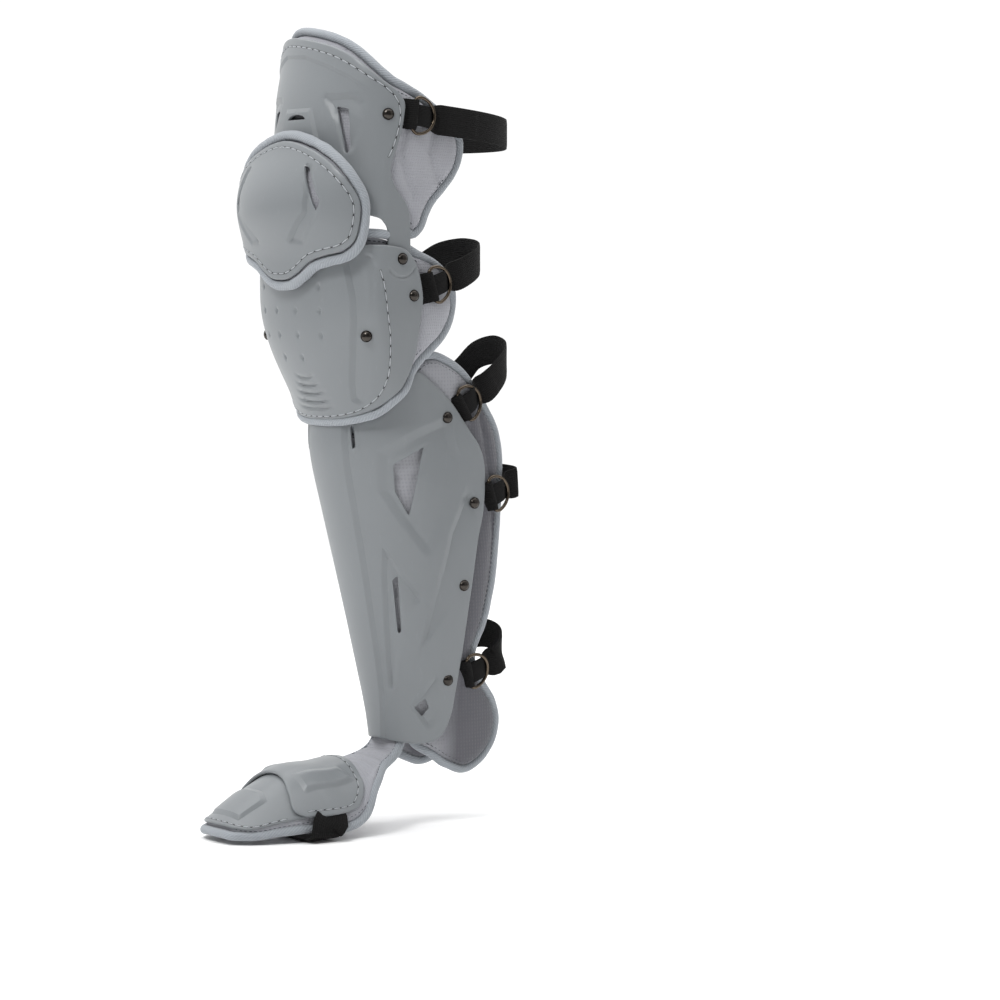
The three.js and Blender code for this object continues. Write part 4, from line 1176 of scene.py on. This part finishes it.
def tube_piece(name, part):
    verts, faces, flat = part
    piece = make_mesh(name, verts, faces)
    layer = piece.data.uv_layers.new(name="cut")
    corners = np.array([corner for face in flat for corner in face])
    layer.data.foreach_set("uv", (corners * 0.01).ravel())
    return piece


def edge_roll(name, form, loop, radius, level, lumps=0.25):
    path = resample(loop, 2.5)
    cord = tube(FORMS[form].wrap(path, level(path)), FORMS[form].outward(path), radius, lumps=lumps)
    finish_piece(tube_piece(name + "_roll", cord), TWILL, [name], 0)


def knee_roll_level(points):
    high = ease((points[:, 1] - 232) / 16)
    wing = ease((np.abs(FORMS["knee"].unflat(points[:, 0])) - 92) / 14)
    return -3.2 - 5.0 * wing - 3.3 * high


edge_roll("thigh_binding", "thigh", LOOPS["thigh_pad"], ROLL, constant(-8))
edge_roll("kneecap_binding", "cap", LOOPS["kneecap"], CAP_ROLL, constant(-4.5), 0.5)
edge_roll("knee_binding", "knee", LOOPS["knee_pad"], ROLL, knee_roll_level)
edge_roll("shin_binding", "shin", LOOPS["shin_pad"], ROLL, constant(-8.5))
edge_roll("foot_binding", "foot", LOOPS["foot_pad"], ROLL, constant(-4))


# Stitching
def capsule(length, radius):
    """One stitch: a lozenge that sinks into the face at both ends."""
    verts, faces = [], []
    sides = 6
    for share, wide in ((-0.42, 0.75), (0.0, 1.0), (0.42, 0.75)):
        for k in range(sides):
            angle = 2 * math.pi * k / sides
            across, high = wide * radius * math.cos(angle), wide * radius * math.sin(angle)
            verts.append((share * length, across, 0.7 * high))
    verts += [(-0.5 * length, 0, -0.3 * radius), (0.5 * length, 0, -0.3 * radius)]
    for i in range(2):
        for k in range(sides):
            a, b = i * sides + k, i * sides + (k + 1) % sides
            faces.append((a, a + sides, b + sides, b))
    for k in range(sides):
        faces.append((len(verts) - 2, k, (k + 1) % sides))
        faces.append((len(verts) - 1, 2 * sides + (k + 1) % sides, 2 * sides + k))
    return np.array(verts), faces


def sew(name, form, line, relief, stitch, closed=False, look=THREAD, painted_shade=True):
    """A run of lock stitches along a line, each over a dark strip of painted shadow, with dark discs of
    painted shade for the needle holes between them.
    """
    length, gap, radius = stitch
    fine = resample(smooth_line(line, closed), 1.0, closed)
    raised = relief(fine)
    path = FORMS[form].wrap(fine, raised)
    out = FORMS[form].outward(fine)
    steps = np.linalg.norm(np.diff(path, axis=0), axis=1)
    far = np.concatenate([[0], np.cumsum(steps)])
    count = int(far[-1] // (length + gap))
    shape, shape_faces = capsule(length, radius)
    verts, faces, hole_shade_verts, shade_faces, stitch_shadow = [], [], [], [], []

    def frame_at(distance):
        at = np.array([np.interp(distance, far, path[:, k]) for k in range(3)])
        normal = np.array([np.interp(distance, far, out[:, k]) for k in range(3)])
        ahead = np.array([np.interp(distance + 0.8, far, path[:, k]) for k in range(3)])
        behind = np.array([np.interp(distance - 0.8, far, path[:, k]) for k in range(3)])
        along = (ahead - behind) / np.linalg.norm(ahead - behind)
        normal = normal - (normal @ along) * along
        normal /= np.linalg.norm(normal)
        return at, along, np.cross(normal, along), normal

    for i in range(count):
        start = (i + 0.5) * far[-1] / count
        at, along, side, up = frame_at(start)
        base = len(verts) * len(shape)
        verts.append(at + shape @ np.array([along, side, up]) + up * radius * 0.15)
        faces += [tuple(base + k for k in face) for face in shape_faces]
        # A dark strip under each stitch is painted shadow.
        if painted_shade:
            reach, spread = along * length * 0.5, side * radius * 1.22
            corners = [-reach - spread, reach - spread, reach + spread, spread - reach]
            stitch_shadow.append(at + up * 0.06 + np.array(corners))
        # A dark disc between stitches is painted shade for the needle hole.
        if painted_shade and i:
            at, along, side, up = frame_at(start - 0.5 * far[-1] / count)
            base = len(hole_shade_verts) * 9
            spokes = [math.cos(a) * along + math.sin(a) * side for a in np.arange(8) * math.pi / 4]
            ring = [at + up * 0.05 + radius * 1.15 * spoke for spoke in spokes]
            hole_shade_verts.append(np.array(ring + [at + up * 0.12]))
            shade_faces += [(base + 8, base + k, base + (k + 1) % 8) for k in range(8)]
            shade_faces.append(tuple(base + k for k in reversed(range(8))))
    body = "thigh_part" if name.startswith("thigh") else "shin_part"
    piece = make_mesh(name, np.vstack(verts), faces)
    finish_piece(piece, look, (), 0, body)
    # The painted shadow strips and painted hole shade make one piece of their own.
    if painted_shade:
        base = 9 * len(hole_shade_verts)
        shade_faces += [tuple(base + 4 * k + j for j in range(4)) for k in range(len(stitch_shadow))]
        shade_marks = make_mesh(name + "_holes", np.vstack(hole_shade_verts + stitch_shadow), shade_faces)
        finish_piece(shade_marks, STITCH_SHADE, (), 0, body)


def both_sides(line):
    """A run from the left side over the middle to the right side."""
    return np.vstack([line[::-1], mirrored(line)])


thigh_run = FORMS["thigh"].line([
    (10, 428), (28, 425), (41, 419), (55, 408), (69, 395), (80, 384), (84, 372), (83, 359), (80, 344),
    (78, 339),
])
sew("thigh_plate_stitches", "thigh", tilted(both_sides(thigh_run), THIGH_TILT), thigh_relief, SHELL_STITCH)
cap_run = offset(LOOPS["kneecap"], 9.5)
sew("kneecap_stitches", "cap", resample(cap_run, 8), cap_relief, SHELL_STITCH, True)
knee_run = FORMS["knee"].line([
    (5, 134), (20, 135), (42, 140), (60, 150), (73, 164), (85, 188), (91, 212), (87, 238), (81, 252),
])
sew("knee_plate_stitches", "knee", both_sides(knee_run), knee_relief, SHELL_STITCH)
toe_run = offset(LOOPS["toe_plate"], 3.2)
toe_run = toe_run[toe_run[:, 1] < FORMS["foot"].along(-106)]
order = np.argsort(np.arctan2(toe_run[:, 0], -(toe_run[:, 1] - 60)))
sew("toe_plate_stitches", "foot", toe_run[order][::4], toe_relief, FOOT_STITCH)
instep_side = FORMS["foot"].line([
    (6, -30), (24, -31), (52, -33), (70, -36), (80, -46), (82, -60), (82, -80), (82, -96),
])
sew("instep_plate_stitches", "foot", both_sides(instep_side), instep_relief, FOOT_STITCH)


def pad_seam(name, form, loop, level):
    sew(name, form, resample(offset(loop, ROLL + 2.6), 6), level, PAD_STITCH, True, DARK_THREAD, False)


pad_seam("thigh_pad_seam", "thigh", LOOPS["thigh_pad"], constant(PAD_FACE - 1.0))
pad_seam("knee_pad_seam", "knee", LOOPS["knee_pad"], lambda points: knee_face(points) - 0.2)
pad_seam("shin_pad_seam", "shin", LOOPS["shin_pad"], constant(PAD_FACE - 0.3))
pad_seam("foot_pad_seam", "foot", LOOPS["foot_pad"], constant(-0.9))


# Rivets: a domed head with a thin flange, modelled once and copied.
def rivet_head():
    bpy.ops.object.select_all(action="DESELECT")
    bpy.ops.mesh.primitive_uv_sphere_add(segments=32, ring_count=20, radius=0.0042, location=(0, 0, 0))
    head = bpy.context.object
    bpy.ops.object.mode_set(mode="EDIT")
    bpy.ops.mesh.select_all(action="SELECT")
    bpy.ops.mesh.bisect(plane_co=(0, 0, 0.0006), plane_no=(0, 0, 1), clear_inner=True, use_fill=False)
    bpy.ops.mesh.select_all(action="SELECT")
    bpy.ops.transform.resize(value=(1, 1, 0.62), center_override=(0, 0, 0.0006))
    bpy.ops.mesh.select_all(action="DESELECT")
    bpy.ops.mesh.select_mode(type="EDGE")
    bpy.ops.mesh.select_non_manifold()
    bpy.ops.mesh.extrude_edges_move()
    bpy.ops.transform.resize(value=(1.12, 1.12, 1), center_override=(0, 0, 0))
    bpy.ops.mesh.extrude_edges_move(TRANSFORM_OT_translate={"value": (0, 0, -0.0009)})
    bpy.ops.mesh.edge_face_add()
    bpy.ops.mesh.select_all(action="SELECT")
    bpy.ops.mesh.normals_make_consistent(inside=False)
    bpy.ops.object.mode_set(mode="OBJECT")
    return head


rivet_master = rivet_head()


def set_rivet(name, form, spot, side):
    base = FORMS[form]
    place = np.array([base.spot("y", *spot)]) * [side, 1]
    foot = base.wrap(place, np.zeros(1))[0]
    out = Vector(base.outward(place)[0])
    turn = out.to_track_quat("Z", "Y").to_matrix().to_4x4()
    piece = rivet_master.copy()
    piece.data = rivet_master.data.copy()
    piece.name = name
    piece.data.transform(Matrix.Translation(Vector(foot) * 0.001) @ turn)
    bpy.context.collection.objects.link(piece)
    body = "thigh_part" if form == "thigh" else "shin_part"
    finish_piece(piece, GUNMETAL, [name.replace("_head", "")], 40, body)


rivets = {f"{strap_name}_rivet": (strap[0], *strap[6:8]) for strap_name, strap in STRAPS.items()}
for rivet_name, (form_name, *spot) in {**rivets, **PLAIN_RIVETS, "pivot_rivet": PIVOT}.items():
    for label, side in (("left", 1), ("right", -1)):
        set_rivet(f"{rivet_name}_{label}_head", form_name, spot, side)
bpy.data.objects.remove(rivet_master)


# Rings, tabs and straps, in a frame of their own: along the pull, up the bar and out of the guard.
def ring_frame(strap):
    form_name, bar, z, tilt = strap[:4]
    form = FORMS[form_name]
    across, _ = form.spot("y", bar, z)
    turn = float(form.unflat(across))
    position = form.place(turn, z, RING_LIFT)
    back = form.place(turn + 4, z, 0) - form.place(turn - 4, z, 0)
    rise = form.place(turn, z + 8, 0) - form.place(turn, z - 8, 0)
    out = np.cross(back, rise)
    out /= np.linalg.norm(out)
    level = np.cross(rise, out)
    level /= np.linalg.norm(level)
    lean = math.radians(tilt)
    pull = level * math.cos(lean) + np.cross(out, level) * math.sin(lean)
    return position, pull, np.cross(out, pull), out


def in_frame(points, place):
    position, pull, up, out = place
    points = np.asarray(points, float)
    return position + points[:, :1] * pull + points[:, 1:2] * up + points[:, 2:] * out


def ring_path():
    bar = [(0, y, 0) for y in np.linspace(-RING_BAR, RING_BAR, 9)]
    arc = [
        (RING_START + RING_REACH * math.cos(a), RING_RISE * math.sin(a), 0)
        for a in np.radians(np.linspace(90, -90, 19))
    ]
    return resample(smooth_line(np.array(bar + arc), True, 4), 1.6)


def ribbon(path, axis, width, thickness):
    """A woven band along a path, with rounded selvedges."""
    ahead = np.gradient(path, axis=0)
    ahead /= np.linalg.norm(ahead, axis=1, keepdims=True)
    out = np.cross(ahead, axis)
    out /= np.linalg.norm(out, axis=1, keepdims=True)
    over = np.cross(out, ahead)
    steps = np.linalg.norm(np.diff(path, axis=0), axis=1)
    far = np.concatenate([[0], np.cumsum(steps)])
    thick = np.array([thickness(distance) for distance in far])
    wide = np.array([width(distance) for distance in far])
    shape = [(share * 0.97, 1.0) for share in np.linspace(-1, 1, 9)] + [(1.0, 0.0)]
    shape += [(share * 0.97, -1.0) for share in np.linspace(1, -1, 9)] + [(-1.0, 0.0)]
    shape = np.array(shape)
    edge = 1 - 0.35 * (np.abs(shape[:, 0]) > 0.96)
    count, ring = len(path), len(shape)
    verts = (
        path[:, None]
        + over[:, None] * shape[:, 0][None, :, None] * (wide / 2)[:, None, None]
        + out[:, None] * (shape[:, 1] * edge)[None, :, None] * (thick / 2)[:, None, None]
    ).reshape(-1, 3)
    faces, flat = [], []
    girth = np.concatenate([[0], np.cumsum(np.abs(np.diff(shape[:, 0])) * WEB_WIDTH / 2 + 0.4), [0]])
    girth[-1] = girth[-2] + 1.0
    for i in range(count - 1):
        for j in range(ring):
            k = (j + 1) % ring
            faces.append((i * ring + j, i * ring + k, (i + 1) * ring + k, (i + 1) * ring + j))
            flat.append([(far[a], girth[b]) for a, b in ((i, j), (i, j + 1), (i + 1, j + 1), (i + 1, j))])
    faces += [tuple(reversed(range(ring))), tuple(range((count - 1) * ring, count * ring))]
    flat += [[(0, g) for g in girth[:ring]][::-1], [(far[-1], g) for g in girth[:ring]]]
    return verts, faces, flat


def strap_path(strap, place):
    form_name, bar, z, tilt, back, back_z = strap[:6]
    form = FORMS[form_name]
    lean = math.radians(tilt)
    inner = [(2.4, 0, 0.6), (8, 0, 1.0), (13.5, 0, 0.4), (19.5, 0, -2.6), (23.5, 0, -2.2)]
    apex = in_frame([(RING_START + RING_REACH + 10, 0, 0)], place)[0]
    points = list(in_frame(inner, place)) + [apex]
    for angle in np.radians(np.arange(12, 169, 12)):
        share = math.cos(angle)
        across = math.copysign(abs(share) ** LOOP_POWER, share)
        far = math.sin(angle)
        sag = tilt * 0.9 * max(0, -math.sin(2 * angle))
        behind, rise = (back - apex[1]) * far, (back_z - apex[2]) * far
        points.append((apex[0] * across, apex[1] + behind, apex[2] + rise - sag))
    points.append((-apex[0], apex[1], apex[2]))
    under = PAD_FACE - STRAP_PLY
    for along, lift in ((4, -1.2), (-SHELL_TO_BAR + 2.5, under), (-SHELL_TO_BAR - 8, under)):
        y, height = bar + along * math.cos(lean), z + along * math.sin(lean)
        across, _ = form.spot("y", y, height)
        points.append(form.place(-float(form.unflat(across)), height, lift))
    return resample(smooth_line(np.array(points), False, 10), 3.0, False)


def webbing(name, band):
    finish_piece(tube_piece(name + "_web", band), ELASTIC, [name], 40)


def in_plane(points, place):
    """A tab's side view, along the pull and out, at the middle of the bar."""
    return in_frame([(x, 0, z) for x, z in points], place)


for strap_name, strap in STRAPS.items():
    place = ring_frame(strap)
    ring = ring_path()
    wire = tube(in_frame(ring, place), np.tile(place[3], (len(ring), 1)), RING_WIRE, 12)
    finish_piece(tube_piece(f"{strap_name}_ring_wire", wire), RING_METAL, [f"{strap_name}_ring"], 0)
    top = PAD_FACE - GAP - RING_LIFT - TAB_PLY / 2
    radius = RING_WIRE + 0.2 + TAB_PLY / 2
    side_view = [(-17, top - 0.6), (-SHELL_TO_BAR - 2, top), (-3.6, top + 2.2)]
    turns = np.radians((120, 80, 40, 0, -40, -80, -110))
    side_view += [(radius * math.cos(a), radius * math.sin(a)) for a in turns]
    side_view += [(-4, top - 1.2), (-SHELL_TO_BAR - 2, top - TAB_PLY), (-17, top - TAB_PLY - 0.6)]
    path = resample(smooth_line(in_plane(side_view, place), False, 8), 0.8, False)
    band = ribbon(path, place[2], lambda distance: WEB_WIDTH, lambda distance: TAB_PLY)
    webbing(f"{strap_name}_ring_tab", band)
    path = strap_path(strap, place)
    doubled = strap[8] + 26
    band = ribbon(
        path, np.array((0, 0, 1.0)),
        lambda distance: WEB_NECK + (WEB_WIDTH - WEB_NECK) * ease((distance - 12) / 12),
        lambda distance: STRAP_PLY * (1 + 0.8 * ease((distance - 20) / 5) * (distance < doubled)),
    )
    webbing(f"{strap_name}_strap", band)

foot = FORMS["foot"]
strap_along = foot.along(-74)
side_points = [foot.place(82, strap_along, 2.6), foot.place(89, strap_along, 4.2)]
side_points += [np.array((57.5, -74, -190)), np.array((56.5, -74, -197)), np.array((47, -74, -200.3))]
loop_points = side_points + [np.array((0, -74, -200.3))]
loop_points += [point * [-1, 1, 1] for point in reversed(side_points)]
path = resample(smooth_line(np.array(loop_points), False, 10), 3.0, False)
band = ribbon(path, np.array((0, 1.0, 0)), lambda distance: FOOT_WEB, lambda distance: STRAP_PLY)
webbing("foot_strap", band)

# Stage, light and camera
FLOOR = -0.2026
bpy.ops.object.select_all(action="DESELECT")
bpy.ops.mesh.primitive_plane_add(size=5, location=(0, 0, FLOOR))
floor = bpy.context.object
floor.name = "floor"
floor_look = Finish("pale_floor")
mottle = floor_look.noise(floor_look.place(), 3.0, 2.0)
pale = floor_look.mix(mottle, (0.95, 0.95, 0.95, 1), (0.99, 0.99, 0.99, 1))
floor.data.materials.append(floor_look.set(Base_Color=pale, Roughness=0.9))
bpy.ops.object.transform_apply(location=True, rotation=False, scale=False)

world = bpy.data.worlds.new("studio")
bpy.context.scene.world = world
world.use_nodes = True
sky = world.node_tree.nodes
facing = sky.new("ShaderNodeVectorMath")
facing.operation = "DOT_PRODUCT"
facing.inputs[1].default_value = (-0.72, 0.45, 0.52)
wash = sky.new("ShaderNodeMapRange")
wash.interpolation_type = "SMOOTHSTEP"
for key, value in {"From Min": -0.5, "From Max": 0.78, "To Min": 0.2, "To Max": 1.06}.items():
    wash.inputs[key].default_value = value
heading = sky.new("ShaderNodeTexCoord")
world.node_tree.links.new(heading.outputs["Generated"], facing.inputs[0])
world.node_tree.links.new(facing.outputs["Value"], wash.inputs["Value"])
world.node_tree.links.new(wash.outputs["Result"], sky["Background"].inputs["Strength"])
sky["Background"].inputs["Color"].default_value = (1.0, 1.0, 1.0, 1.0)


def soft_light(name, spot, aim, size, power):
    data = bpy.data.lights.new(name, "AREA")
    data.shape = "RECTANGLE"
    data.size, data.size_y = size
    data.energy = power
    lamp = bpy.data.objects.new(name, data)
    bpy.context.collection.objects.link(lamp)
    lamp.location = spot
    lamp.rotation_mode = "QUATERNION"
    lamp.rotation_quaternion = (Vector(aim) - Vector(spot)).to_track_quat("-Z", "Y")


soft_light("key", (0.45, -1.45, 1.7), (0, 0, 0.3), (0.6, 0.6), 19.5)
soft_light("side", (2.3, 0.9, 0.9), (0, 0, 0.2), (0.3, 1.4), 2)
soft_light("top", (-0.6, 0.4, 3.0), (-0.6, 0.4, 0), (4.0, 4.0), 90)

camera_data = bpy.data.cameras.new("camera")
camera_data.lens, camera_data.sensor_width = 122.5, 36.0
camera = bpy.data.objects.new("camera", camera_data)
bpy.context.collection.objects.link(camera)
camera.location = (2.3143, -1.5222, 0.23775)
camera.rotation_euler = (math.radians(90 - 3.58), 0, math.radians(54.38))
bpy.context.scene.camera = camera
bpy.context.scene.view_settings.view_transform = "Standard"
